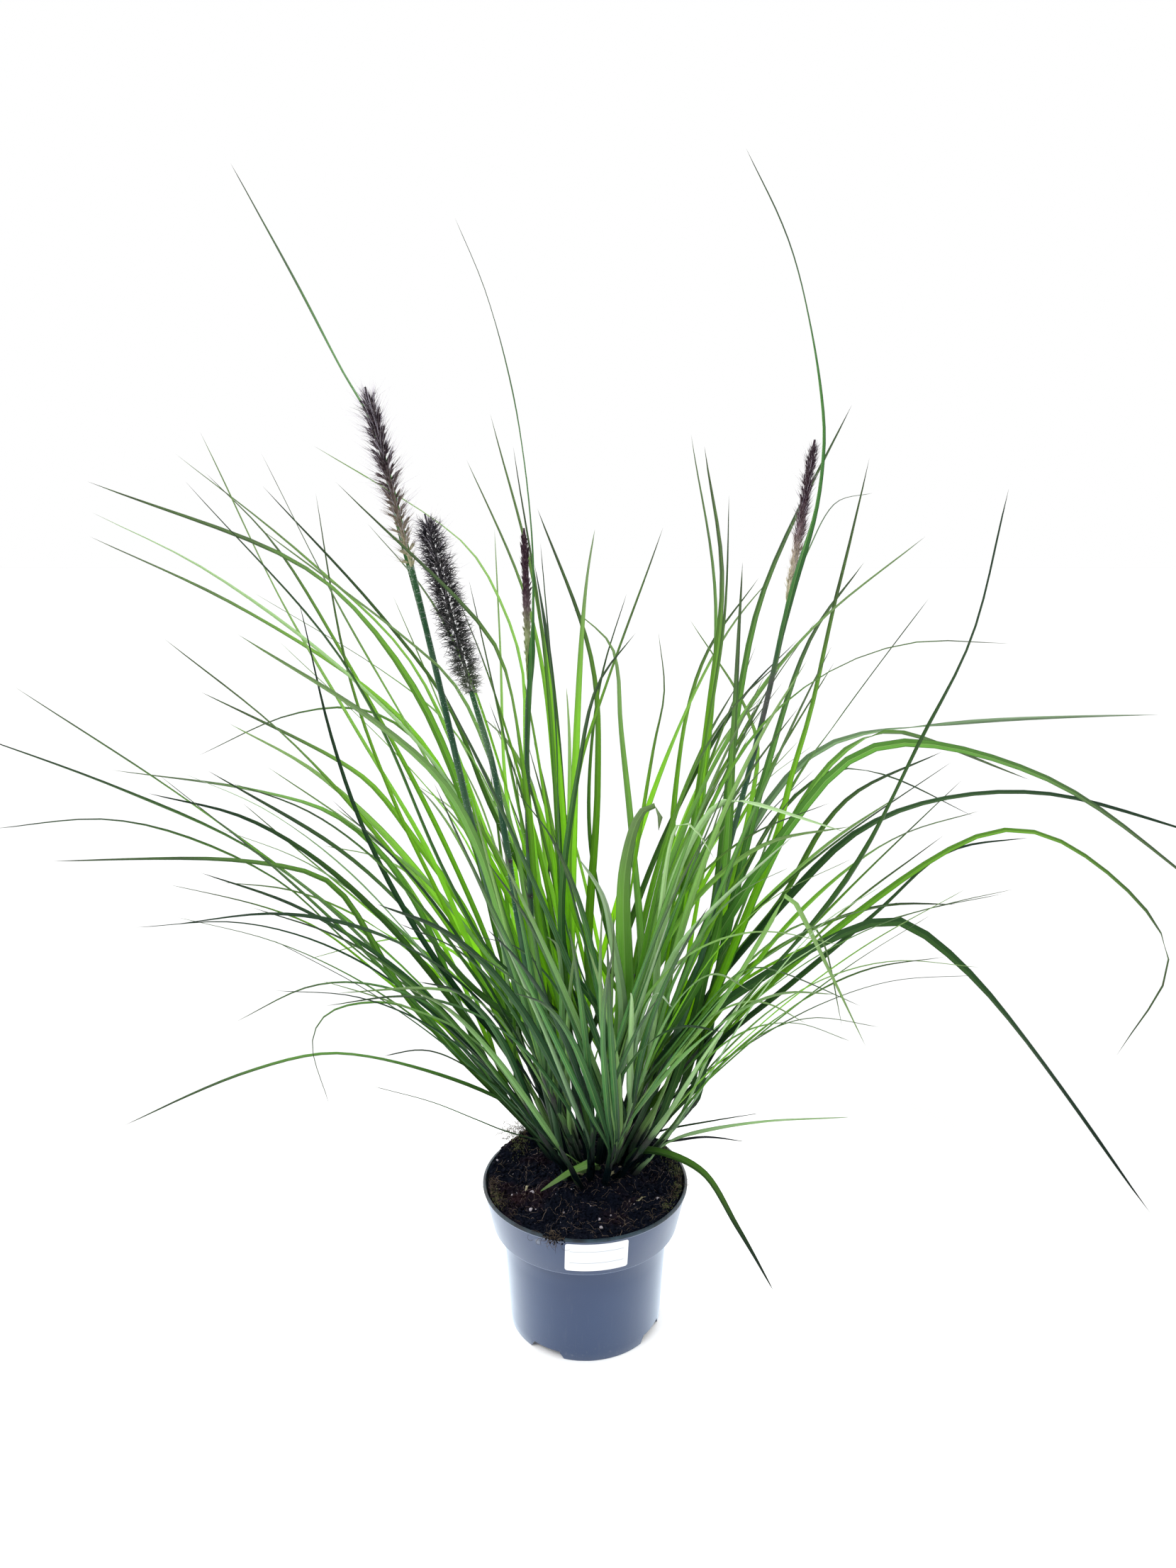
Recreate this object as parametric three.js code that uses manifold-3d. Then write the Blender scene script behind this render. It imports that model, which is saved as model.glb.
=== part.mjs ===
// A clump of fountain grass in a round nursery pot. Millimetres, +Z up. The origin is the centre of the
// pot's underside, on the surface it stands on, and +X is to the right of someone who faces the label.
import * as THREE from "three";
import { mergeVertices } from "three/addons/utils/BufferGeometryUtils.js";
import Module from "manifold-3d";

const wasm = await Module();
wasm.setup();

// Driving dimensions

const POT = {
  height: 128,
  rimRadius: 85,
  lipHeight: 3,
  lipOverhang: 0.8,
  bandHeight: 36.7, // the wide band below the rim
  bandFootRadius: 77,
  bodyTopRadius: 68.8,
  baseRadius: 63.4,
  wall: 1.6,
  floorTop: 7,
  floorUnderside: 5, // the floor stands clear of the ground inside the foot ring
  footRing: 6,
  footBevel: 3,
  middleFoot: 14, // radius of the small flat foot under the middle of the floor
  edge: 0.6, // the softened edges of the lip and of the step below the band
  sides: 36,
};
const FOOT_NOTCH = {
  count: 4,
  firstDeg: -120,
  halfAngleDeg: 14.5,
  height: 6.5,
  slant: 4,
  reach: 16,
  overshoot: 1,
};
const DRAIN = { count: 4, radius: 5, ring: 38, sides: 12 };
const LABEL = { width: 50, height: 28, corner: 2.2, thick: 0.7, azimuthDeg: -83.5, middle: 110, columns: 8 };
const SOIL = {
  edge: 118.5, // height at the pot wall
  crown: 129, // height of the mound that the clump stands on
  mound: { x: 5, y: 12, radius: 73 },
  rings: 3,
  sides: 20,
  clearance: 0.8,
  holeRoom: 1.2,
};
// The unevenness of the soil: waves of a height, with the turns they take per millimetre along X and Y.
const SOIL_WAVES = [
  { height: 1.6, x: 0.19, y: 0.17, start: 1 },
  { height: 0.8, x: 0.41, y: 0.33, start: 0 },
];
const GAP = 0.35; // left between pieces that touch

const CROWN = { x: 8, y: 20, spacing: 6.6, leanMin: 7, leanMax: 39 };
const TILLER = {
  count: 28,
  holeDepth: 16,
  baseRadius: 2.6,
  topRadius: 1.5,
  shortest: 78,
  longest: 150,
  sides: 5,
  strayPlace: 1, // how far chance moves each stem, turns it and changes its length
  strayLeanDeg: 4,
  strayHeadingDeg: 14,
  strayLength: 12,
  tries: 12,
};
const CULM = { baseRadius: 2.4, topRadius: 1.25, sides: 6, rings: 7, leafFree: 0.02 };
const BLADE = {
  depth: 1.3, // from the two edges down to the keel
  rootWidth: 2.2,
  sink: 7, // how far below its node a leaf is rooted in the stem
  fewestRings: 4,
  mostRings: 7,
  freeFrom: 6, // above its node a leaf has left the stem
  bendPerRing: 30, // degrees
  twistPerRing: 45,
  leastRings: 2.2, // what a straight, flat blade would need
  openBy: 0.2, // share of the length over which it widens
  taper: 1.25,
  taperPower: 0.62,
  rollDeg: 27, // the most that a blade is rolled at its root, and twisted from there to its tip
  twistDeg: 50,
};
// How a leaf that is seen in the front view finds its stem.
const CHOOSE = {
  below: 22, // it leaves the stem this far below its first point
  belowPerAway: 0.9, // and this much lower for each millimetre between that point and the stem
  lowest: 12,
  fromTop: 2,
  crowdedWithin: 7,
  crowdedCost: 12,
  leafCost: 4,
  stems: 8,
};
// Leaves that are drawn by lot, between those seen one by one. Pairs are the least and the most.
const DRAWN_LEAF = {
  perStem: 3,
  height: [0.32, 0.98], // share of the stem
  fanDeg: 55,
  length: [330, 590],
  frontLength: [200, 330],
  endLeanDeg: [48, 108],
  onset: [1.3, 2.6],
  strayLeanDeg: 6,
  sweepDeg: 14,
  width: [3.6, 7],
  room: 5, // to the next leaf on the stem
  mostRings: 6,
  tries: 80,
};
const ENVELOPE = {
  x: 345, back: 330, front: 250, top: 660, skirt: 165, skirtSlope: 0.5,
  bareStems: 240, // below this height no drawn leaf hangs before the stems, as seen from VIEW_POINT
};
const CLEARANCE = 0.45; // between leaves of different stems
const ROOT_ZONE = 34; // leaves of one stem may touch this near to their roots
const RIM_ROOM = { outside: 5, above: 4 }; // kept free of leaves round the rim
const GROUND_ROOM = 3;
const GOLDEN_ANGLE = THREE.MathUtils.degToRad(137.508); // from one leaf or bristle to the next round a stem
const SPIKE = {
  sides: 6,
  shares: [0, 0.12, 0.5, 0.85, 1], // of its length, with the fullness of the core there
  fullness: [0.7, 1, 1, 0.8, 0.3],
  first: 0.03, // shares of the length between which bristles stand
  last: 0.97,
  openAtFoot: 1.1, // bristles stand out more at the foot, and close up towards the tip
  openAtTip: 0.55,
  shortUpTo: 0.15,
  shortBy: 0.75,
  bow: 3,
};
// From this point the clump has the outline that its leaves were placed by.
const VIEW_POINT = new THREE.Vector3(0, -865, 696);

const COLOURS = {
  pot: 0x4d586b,
  soil: 0x1c1512,
  label: 0xf4f4f2,
  leaf: 0x4f8a2c,
  culm: 0x2f5a35,
  spike: 0x3b2c3c,
};

// Leaves seen one by one. Each is its width, then the points it passes from just above the clump to its
// tip.

const LEFT_LOW_LEAVES = [
  [5.5, [-80, 0, 205], [-145, -15, 240], [-200, -35, 260], [-255, -55, 255], [-340, -90, 230]],
  [4, [-75, -10, 180], [-105, -25, 205], [-160, -60, 245]],
  [4,
    [-75, 0, 205], [-130, -25, 290], [-165, -40, 305], [-195, -50, 300], [-205, -60, 280],
    [-190, -80, 240],
  ],
  [3.5, [-50, 5, 190], [-110, -20, 250], [-130, -30, 260], [-155, -40, 260]],
  [3.5, [-80, 50, 270], [-110, 65, 300], [-150, 75, 310], [-245, 100, 280]],
  [3.5, [-90, -35, 275], [-150, -75, 325], [-185, -100, 350]],
  [4, [-50, -20, 255], [-75, -45, 305], [-105, -70, 330], [-170, -120, 350]],
  [4, [-110, 25, 245], [-175, 25, 305], [-225, 25, 345], [-335, 30, 375]],
];
const LEFT_LONG_LEAVES = [
  [6, [-120, 10, 270], [-235, -10, 405], [-355, -25, 475], [-455, -40, 520]],
  [6, [-130, 25, 285], [-205, 30, 355], [-300, 30, 435], [-445, 40, 535]],
  [5.5, [-110, 40, 275], [-150, 60, 365], [-205, 70, 420], [-290, 90, 440], [-405, 110, 450]],
  [5, [-115, 35, 255], [-180, 40, 305], [-250, 50, 370], [-375, 70, 415], [-500, 85, 405]],
  [5.5, [-130, 0, 270], [-170, -10, 350], [-195, -20, 395], [-250, -30, 415], [-385, -60, 425]],
  [3,
    [-90, 65, 390], [-135, 90, 475], [-170, 100, 500], [-210, 110, 505], [-270, 125, 490],
    [-340, 140, 455],
  ],
  [5, [-85, 35, 325], [-130, 45, 395], [-170, 50, 450], [-205, 55, 475], [-310, 70, 525]],
  [6, [-85, 15, 285], [-135, 15, 350], [-180, 15, 400], [-290, 10, 475]],
  [4.5, [-95, 35, 280], [-150, 40, 325], [-280, 60, 435]],
  [4, [-75, 5, 320], [-120, 0, 385], [-235, -20, 485]],
];
const LEFT_HIGH_LEAVES = [
  [6, [-75, 20, 395], [-120, 20, 485], [-165, 20, 535], [-280, 20, 610], [-365, 20, 650]],
  [4.5, [-85, 40, 410], [-140, 50, 495], [-200, 60, 550], [-330, 80, 640], [-390, 90, 665]],
  [7.5,
    [-60, 5, 335], [-95, -5, 465], [-130, -20, 555], [-170, -30, 610], [-210, -35, 640], [-330, -60, 690],
  ],
  [4, [-80, 50, 395], [-135, 75, 540], [-230, 95, 635], [-330, 120, 710]],
  [4.5, [-80, 25, 285], [-130, 35, 410], [-180, 40, 500], [-230, 50, 590], [-290, 60, 725]],
  [4.5, [-75, 15, 320], [-130, 10, 440], [-175, 10, 550], [-285, 0, 690]],
  [4, [-85, 45, 335], [-155, 75, 475], [-250, 110, 635], [-310, 130, 695]],
  [6.5, [-65, 25, 345], [-110, 30, 445], [-155, 30, 545], [-200, 35, 620], [-240, 40, 710]],
  [4, [-75, 70, 420], [-120, 95, 520], [-220, 130, 635], [-270, 150, 685]],
  [4, [-55, 0, 425], [-95, -15, 545], [-135, -20, 585], [-225, -40, 660]],
  [3.5, [-100, 35, 320], [-150, 45, 430], [-185, 60, 530], [-210, 80, 680]],
  [3.5, [-70, 0, 455], [-110, -10, 525], [-235, -30, 615]],
  [7, [-60, -5, 340], [-95, -25, 460], [-140, -40, 515], [-235, -70, 590]],
  [3.5, [-100, 80, 395], [-160, 105, 465], [-265, 150, 555]],
  [4.5, [-70, 5, 250], [-125, -15, 345], [-170, -40, 465], [-190, -80, 615]],
  [4, [-45, 35, 430], [-50, 40, 555], [-75, 45, 620], [-100, 50, 650], [-205, 60, 715]],
  [5, [-35, -10, 355], [-45, -45, 495], [-60, -85, 585], [-90, -95, 620], [-155, -110, 690]],
  [3.5, [-50, 60, 395], [-85, 85, 510], [-125, 110, 590], [-180, 130, 655]],
  [3.5, [-65, 70, 360], [-110, 105, 475], [-165, 150, 595]],
];
const UPRIGHT_LEAVES = [
  [5, [-15, 30, 315], [-25, 40, 470], [-35, 45, 555], [-50, 50, 615], [-90, 60, 705]],
  [4.5, [-15, 45, 370], [-30, 70, 540], [-45, 85, 630], [-75, 110, 740]],
  [3.5, [-20, 35, 370], [-30, 50, 545], [-55, 70, 715]],
  [8, [5, 20, 285], [10, 20, 465], [5, 20, 560], [-35, 20, 670]],
  [3.5, [-60, 65, 390], [-70, 90, 505], [-70, 110, 580], [-75, 130, 650]],
  [4, [-15, -5, 355], [-20, -30, 505], [-30, -60, 650]],
  [5, [-10, 30, 360], [-5, 40, 465], [15, 45, 530], [60, 60, 655]],
  [3.5, [5, 65, 390], [10, 95, 515], [35, 120, 600]],
  [5, [-15, -5, 325], [-5, -35, 490], [10, -50, 555], [35, -60, 590]],
  [6, [45, 15, 285], [35, 10, 440], [25, 5, 525], [20, 5, 570], [-10, 0, 600]],
  [5.5, [30, 20, 315], [45, 20, 435], [55, 20, 505], [60, 20, 535], [55, 20, 580]],
  [5, [80, 45, 335], [100, 70, 480], [105, 95, 605], [85, 120, 725]],
  [7.5, [65, 25, 280], [85, 35, 400], [100, 45, 540], [105, 50, 625], [90, 60, 715]],
  [5, [70, 20, 315], [95, 20, 510], [105, 20, 600], [105, 20, 680]],
  [5, [65, 40, 340], [75, 60, 465], [95, 75, 550], [140, 90, 615]],
  [4.5, [100, 40, 290], [130, 60, 410], [140, 70, 480], [120, 85, 530], [85, 100, 580]],
  [5.5, [100, 5, 325], [110, -10, 485], [110, -20, 570], [110, -30, 635]],
  [7, [95, 25, 280], [115, 35, 470], [130, 45, 590], [160, 50, 655], [200, 60, 745]],
];
const RIGHT_HIGH_LEAVES = [
  [6, [110, 20, 285], [150, 15, 435], [175, 15, 535], [185, 10, 610], [205, 10, 705]],
  [7, [105, 10, 290], [130, -5, 455], [150, -15, 535], [165, -25, 590], [195, -30, 635]],
  [5.5, [40, 0, 295], [70, -30, 460], [105, -45, 535], [140, -60, 575]],
  [4.5, [125, 40, 340], [165, 55, 445], [200, 60, 500], [275, 80, 600]],
  [7.5, [100, 15, 230], [160, 10, 300], [205, 5, 390], [250, -5, 500], [280, -10, 575], [295, -20, 685]],
  [4.5, [60, 0, 325], [100, -25, 470], [140, -40, 535], [185, -55, 570], [235, -65, 585], [285, -80, 585]],
];
const RIGHT_LONG_LEAVES = [
  [6, [90, 35, 280], [135, 50, 415], [190, 60, 480], [265, 70, 495], [365, 85, 500], [480, 100, 500]],
  [10,
    [75, 10, 265], [135, -10, 395], [175, -25, 475], [215, -35, 505], [260, -45, 505], [340, -60, 480],
    [445, -90, 405],
  ],
  [7, [105, 10, 290], [150, 0, 420], [190, -5, 490], [225, -10, 510], [265, -15, 500], [330, -20, 475]],
  [7, [85, 10, 260], [140, 0, 350], [195, -15, 425], [245, -20, 455], [325, -35, 470], [460, -60, 440]],
  [4, [115, 55, 335], [160, 75, 420], [210, 90, 455], [275, 105, 440], [340, 120, 405]],
  [6, [100, 30, 270], [165, 35, 370], [205, 40, 440], [285, 50, 480]],
  [6,
    [90, 15, 230], [160, 5, 310], [230, -5, 380], [315, -15, 435], [380, -25, 415], [440, -40, 340],
    [405, -50, 265],
  ],
  [6, [105, 30, 225], [175, 35, 290], [240, 45, 345], [295, 50, 395], [365, 60, 405]],
  [10,
    [60, 10, 230], [125, -5, 300], [190, -20, 345], [230, -35, 370], [275, -45, 345], [340, -70, 270],
    [415, -110, 170],
  ],
  [4, [110, 50, 260], [185, 75, 300], [275, 100, 320], [385, 130, 335]],
  [3.5, [115, 50, 305], [180, 65, 375], [310, 100, 460]],
  [4, [115, 25, 250], [180, 30, 335], [300, 40, 460]],
];
const LOW_FRONT_LEAVES = [
  [5, [75, -10, 250], [125, -45, 335], [145, -75, 405], [160, -95, 375], [190, -140, 320]],
  [3.5, [85, -10, 270], [135, -40, 350], [165, -55, 375], [180, -70, 345], [185, -90, 310]],
  [3.5, [60, -10, 240], [100, -45, 315], [125, -65, 345], [190, -120, 340]],
  [5, [50, 5, 155], [100, -15, 180], [150, -40, 205], [200, -70, 225]],
  [4.5, [55, 20, 155], [90, 20, 165], [145, 20, 175]],
  [3, [65, 35, 139], [100, 45, 138], [140, 60, 124]],
  [6.5, [40, 0, 150], [70, -25, 165], [95, -55, 165], [115, -105, 150], [130, -170, 150]],
  [6.5, [8, 8, 138], [-12, -15, 142], [-36, -42, 142]],
  [4.5, [5, 5, 145], [-15, -20, 160], [-25, -40, 180]],
  [8.5, [30, -10, 270], [30, -45, 380], [30, -70, 435], [40, -85, 470], [50, -90, 475], [50, -100, 460]],
  [5.5, [55, -40, 355], [70, -70, 430], [95, -95, 480], [125, -115, 480], [165, -150, 475]],
  [4, [55, -35, 310], [55, -85, 425], [65, -110, 470], [75, -115, 465], [85, -130, 450]],
  [8.5, [25, 0, 205], [30, -30, 290], [20, -60, 365], [10, -90, 415], [-5, -110, 445]],
  [6, [40, -15, 255], [70, -65, 365], [100, -95, 415], [135, -140, 470]],
];

// The flowering stems: where each passes from the soil to its spike, its leaves with the share of the stem
// at which each leaves it, and its spike, whose bristles stand off the axis by an angle.

const CULMS = [
  {
    path: [[-18, 12], [-38, 5, 230], [-64, -2, 338], [-84, -8, 427], [-106, -16, 544], [-123, -20, 631]],
    leaves: [[6, 0.88, [-136, 0, 649], [-158, 20, 728], [-178, 33, 770], [-207, 48, 827], [-253, 60, 909]]],
    spike: { tip: [-150, -20, 752], bristle: 19, angle: 34, core: 2.4, count: 50 },
  },
  {
    path: [[-16, -2], [-34, -12, 251], [-49, -28, 355], [-58, -40, 432], [-66, -50, 494], [-79, -60, 549]],
    leaves: [],
    spike: { tip: [-107, -60, 669], bristle: 17, angle: 74, core: 1.8, count: 58 },
  },
  {
    path: [[-8, 16], [-34, 12, 226], [-41, 8, 320], [-44, 5, 412], [-44, 1, 500], [-42, 0, 551]],
    leaves: [[5.5, 0.8,
      [-37, -8, 604], [-37, -8, 645], [-42, -7, 700], [-51, -5, 753], [-68, 0, 815], [-88, 0, 862],
    ]],
    spike: { tip: [-44, 0, 657], bristle: 12, angle: 9, core: 2.6, count: 28 },
  },
  {
    path: [[28, 22], [67, 18, 223], [89, 15, 300], [108, 12, 392], [135, 4, 524], [148, 0, 604]],
    leaves: [
      [5.5, 0.9,
        [150, -8, 614], [163, -14, 670], [166, -14, 708], [165, -12, 732], [155, -4, 790], [139, 0, 843],
        [107, 0, 904],
      ],
      [4, 0.82, [154, 12, 613], [164, 16, 641], [183, 18, 675], [210, 22, 681]],
    ],
    spike: { tip: [162, 0, 718], bristle: 14, angle: 18, core: 2.6, count: 38 },
  },
];

// Small helpers

const UP = new THREE.Vector3(0, 0, 1);
const rad = THREE.MathUtils.degToRad;
const vector = (p) => new THREE.Vector3(...p);
const lerp = THREE.MathUtils.lerp;
const clamp = THREE.MathUtils.clamp;
const around = (angle, r, z = 0) => new THREE.Vector3(Math.cos(angle) * r, Math.sin(angle) * r, z);

// A seeded source of numbers from 0 to 1, so that the plant grows the same each time.
function seeded(seed) {
  let state = seed;
  return () => {
    state = (state + 0x6d2b79f5) | 0;
    let t = Math.imul(state ^ (state >>> 15), 1 | state);
    t = (t + Math.imul(t ^ (t >>> 7), 61 | t)) ^ t;
    return ((t ^ (t >>> 14)) >>> 0) / 4294967296;
  };
}
const draw = seeded(20);
const between = (low, high) => lerp(low, high, draw());

function toSolid(geometry) {
  const bare = new THREE.BufferGeometry();
  bare.setAttribute("position", geometry.getAttribute("position"));
  if (geometry.index) bare.setIndex(geometry.index);
  const merged = mergeVertices(bare, 1e-3);
  const all = merged.index.array;
  const kept = [];
  for (let i = 0; i < all.length; i += 3) {
    const [a, b, c] = [all[i], all[i + 1], all[i + 2]];
    if (a !== b && b !== c && c !== a) kept.push(a, b, c); // a face at a pole has no area
  }
  return new wasm.Manifold(
    new wasm.Mesh({
      numProp: 3,
      vertProperties: merged.attributes.position.array,
      triVerts: new Uint32Array(kept),
    }),
  );
}

// Where leaves that cross close a small hollow between them, it is filled: only the outer surface is kept.
function outerBody(solid) {
  return solid.decompose().reduce((best, body) => (body.volume() > best.volume() ? body : best));
}

function toMesh(name, solid, colour, roughness) {
  const found = solid.getMesh();
  const geometry = new THREE.BufferGeometry();
  geometry.setAttribute("position", new THREE.BufferAttribute(found.vertProperties, 3));
  geometry.setIndex(new THREE.BufferAttribute(found.triVerts, 1));
  geometry.computeVertexNormals();
  const material = new THREE.MeshStandardMaterial({ color: colour, roughness, metalness: 0 });
  const mesh = new THREE.Mesh(geometry, material);
  mesh.name = name;
  return mesh;
}

// Pot

function potSolid() {
  const { height, rimRadius, wall, bandFootRadius, bodyTopRadius, baseRadius } = POT;
  const { floorTop, floorUnderside } = POT;
  const ledge = height - POT.bandHeight;
  const lipFoot = height - POT.lipHeight;
  const bandTopRadius = rimRadius - POT.lipOverhang;
  const footInner = baseRadius - POT.footRing;
  const profile = [
    [0, 0],
    [POT.middleFoot, 0],
    [POT.middleFoot + POT.footBevel, floorUnderside],
    [footInner - POT.footBevel, floorUnderside],
    [footInner, 0],
    [baseRadius, 0],
    [bodyTopRadius, ledge - POT.edge],
    [bandFootRadius, ledge],
    [bandTopRadius, lipFoot],
    [rimRadius, lipFoot + POT.edge],
    [rimRadius, height - POT.edge],
    [rimRadius - POT.edge, height],
    [bandTopRadius - wall, height],
    [bandFootRadius - wall, ledge + wall],
    [bodyTopRadius - wall, ledge + wall - POT.edge],
    [baseRadius - wall, floorTop],
    [0, floorTop],
  ];
  const points = profile.map(([r, z]) => new THREE.Vector2(r, z));
  let solid = toSolid(new THREE.LatheGeometry(points, POT.sides).rotateX(Math.PI / 2));
  for (let i = 0; i < FOOT_NOTCH.count; i += 1) solid = solid.subtract(footNotch(i));
  for (let i = 0; i < DRAIN.count; i += 1) {
    const hole = new THREE.CylinderGeometry(DRAIN.radius, DRAIN.radius, 4 * floorTop, DRAIN.sides);
    hole.rotateX(Math.PI / 2);
    const at = around(rad(FOOT_NOTCH.firstDeg + 45 + (360 / DRAIN.count) * i), DRAIN.ring);
    solid = solid.subtract(toSolid(hole.translate(at.x, at.y, 0)));
  }
  return solid;
}

// A trapezoid cut through the foot ring, seen from outside as a shallow arch with slanted ends.
function footNotch(index) {
  const { height, slant, reach, overshoot } = FOOT_NOTCH;
  const half = Math.sin(rad(FOOT_NOTCH.halfAngleDeg)) * POT.baseRadius;
  const outline = new THREE.Shape([
    new THREE.Vector2(-half - overshoot, -overshoot),
    new THREE.Vector2(half + overshoot, -overshoot),
    new THREE.Vector2(half - slant, height),
    new THREE.Vector2(slant - half, height),
  ]);
  const cutter = new THREE.ExtrudeGeometry(outline, { depth: reach, bevelEnabled: false });
  cutter.rotateX(Math.PI / 2).translate(0, reach / 2 - POT.baseRadius + overshoot, 0);
  cutter.rotateZ(rad(FOOT_NOTCH.firstDeg + 90 + (360 / FOOT_NOTCH.count) * index));
  return toSolid(cutter);
}

// Label, a rounded rectangle laid round the band

function labelSolid() {
  const { width, height, corner, thick } = LABEL;
  const straight = width / 2 - corner;
  const inCorner = straight + corner * Math.SQRT1_2;
  const columns = [-width / 2, -inCorner];
  for (let i = 0; i <= LABEL.columns; i += 1) columns.push(lerp(-straight, straight, i / LABEL.columns));
  columns.push(inCorner, width / 2);
  const plate = new THREE.BoxGeometry(1, 1, thick, columns.length - 1, 1, 1);
  const place = plate.getAttribute("position");
  const bandTop = POT.height - POT.lipHeight;
  const bandFoot = POT.height - POT.bandHeight;
  const midRadius = (POT.rimRadius + POT.bandFootRadius) / 2;
  for (let i = 0; i < place.count; i += 1) {
    const x = columns[Math.round((place.getX(i) + 0.5) * (columns.length - 1))];
    const intoCorner = Math.max(0, Math.abs(x) - straight);
    const tall = height - 2 * corner + 2 * Math.sqrt(corner ** 2 - intoCorner ** 2);
    const z = LABEL.middle + place.getY(i) * tall;
    const share = (z - bandFoot) / (bandTop - bandFoot);
    const band = lerp(POT.bandFootRadius, POT.rimRadius - POT.lipOverhang, share);
    const p = around(rad(LABEL.azimuthDeg) + x / midRadius, band + GAP + thick / 2 + place.getZ(i), z);
    place.setXYZ(i, p.x, p.y, p.z);
  }
  return toSolid(plate);
}

// Soil, a full root ball with an uneven top and a plain hole for each stem

function soilHeight(x, y) {
  const r = Math.hypot(x - SOIL.mound.x, y - SOIL.mound.y) / SOIL.mound.radius;
  const mound = lerp(SOIL.crown, SOIL.edge, Math.min(1, r * r));
  const wave = (w) => w.height * Math.sin(x * w.x + w.start) * Math.cos(y * w.y);
  return SOIL_WAVES.reduce((sum, w) => sum + wave(w), mound);
}

function soilSolid(stems) {
  const ledge = POT.height - POT.bandHeight;
  const inner = (radius) => radius - POT.wall - SOIL.clearance;
  const bandTopRadius = POT.rimRadius - POT.lipOverhang;
  const wallRadius = (z) => lerp(POT.bandFootRadius, bandTopRadius, (z - ledge) / POT.bandHeight);
  const shoulder = SOIL.edge - 2;
  const topRadius = inner(wallRadius(shoulder));
  const profile = [
    [0, POT.floorTop + GAP],
    [inner(POT.baseRadius), POT.floorTop + GAP],
    [inner(POT.bodyTopRadius), ledge + POT.wall],
    [inner(POT.bandFootRadius), ledge + POT.wall + SOIL.clearance],
    [topRadius, shoulder],
  ];
  for (let i = 1; i <= SOIL.rings; i += 1) profile.push([topRadius * (1 - i / SOIL.rings), SOIL.edge]);
  const points = profile.map(([r, z]) => new THREE.Vector2(r, z));
  const body = new THREE.LatheGeometry(points, SOIL.sides).rotateX(Math.PI / 2);
  const place = body.getAttribute("position");
  for (let i = 0; i < place.count; i += 1) {
    if (place.getZ(i) === SOIL.edge) place.setZ(i, soilHeight(place.getX(i), place.getY(i)));
  }
  return stems.reduce((left, stem) => left.subtract(stemHole(stem)), toSolid(body));
}

function stemHole({ base, axis, radius }) {
  const depth = TILLER.holeDepth + GAP;
  const reach = 3 * depth;
  const hole = new THREE.CylinderGeometry(radius + SOIL.holeRoom, radius + SOIL.holeRoom, reach, 6);
  hole.translate(0, reach / 2 - depth, 0);
  hole.applyQuaternion(new THREE.Quaternion().setFromUnitVectors(new THREE.Vector3(0, 1, 0), axis));
  return toSolid(hole.translate(base.x, base.y, base.z));
}

// Bending. A unit cylinder or cone along +Y is laid along a path: stations is a list of { share, centre,
// side, up, halfWidth, depth }, one for each of its rings, and a three-sided one becomes a blade with its
// keel below.

function bend(sides, stations, place) {
  const rings = stations.length - 1;
  const pointed = stations[rings].halfWidth === 0;
  const geometry = new THREE.CylinderGeometry(pointed ? 0 : 1, 1, 1, sides, rings);
  const at = geometry.getAttribute("position");
  for (let i = 0; i < at.count; i += 1) {
    const ring = Math.round((at.getY(i) + 0.5) * rings);
    const scale = pointed ? Math.max(1 - ring / rings, 1e-9) : 1;
    const p = place(stations[ring], at.getX(i) / scale, at.getZ(i) / scale);
    at.setXYZ(i, p.x, p.y, p.z);
  }
  return geometry;
}

const roundSection = (s, x, z) =>
  s.centre.clone().addScaledVector(s.side, x * s.halfWidth).addScaledVector(s.up, -z * s.halfWidth);

const EDGE = Math.sqrt(3) / 2;
const bladeSection = (s, x, z) => {
  if (s.halfWidth === 0) return s.centre.clone();
  const across = (x / EDGE) * s.halfWidth;
  const keel = ((z + 0.5) / 1.5) * s.depth;
  return s.centre.clone().addScaledVector(s.side, across).addScaledVector(s.up, -keel);
};

// The directions across a curve at each share of its length, carried along it without spin.
function framesAlong(curve, shares, firstSide, roll, twist) {
  let side = firstSide.clone();
  return shares.map((share) => {
    const tangent = curve.getTangentAt(share);
    side.addScaledVector(tangent, -side.dot(tangent)).normalize();
    const turned = side.clone().applyAxisAngle(tangent, roll + twist * share);
    return {
      share,
      tangent,
      centre: curve.getPointAt(share),
      side: turned,
      up: new THREE.Vector3().crossVectors(tangent, turned),
    };
  });
}

// Shares of the length with more rings where a blade bends or twists more.
function ringShares(curve, twist, mostRings) {
  const samples = 48;
  const total = [0];
  let last = curve.getTangentAt(0);
  for (let i = 1; i <= samples; i += 1) {
    const tangent = curve.getTangentAt(i / samples);
    const bent = THREE.MathUtils.radToDeg(last.angleTo(tangent)) / BLADE.bendPerRing;
    const turned = THREE.MathUtils.radToDeg(Math.abs(twist)) / samples / BLADE.twistPerRing;
    total.push(total[i - 1] + bent + turned + BLADE.leastRings / samples);
    last = tangent;
  }
  const rings = clamp(Math.ceil(total[samples]), BLADE.fewestRings, mostRings);
  const shares = [0];
  for (let ring = 1; ring < rings; ring += 1) {
    const wanted = (total[samples] * ring) / rings;
    const above = total.findIndex((value) => value >= wanted);
    const part = (wanted - total[above - 1]) / (total[above] - total[above - 1]);
    shares.push((above - 1 + part) / samples);
  }
  return [...shares, 1];
}

// A blade is narrow where it leaves the stem, widest in its lower third, and runs out to a long point.
function bladeHalfWidth(width, share) {
  if (share === 1) return 0;
  const opening = THREE.MathUtils.smoothstep(share, 0, BLADE.openBy);
  const taper = Math.min(1, BLADE.taper * (1 - share) ** BLADE.taperPower);
  return (lerp(BLADE.rootWidth, width, opening) * taper) / 2;
}

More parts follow.
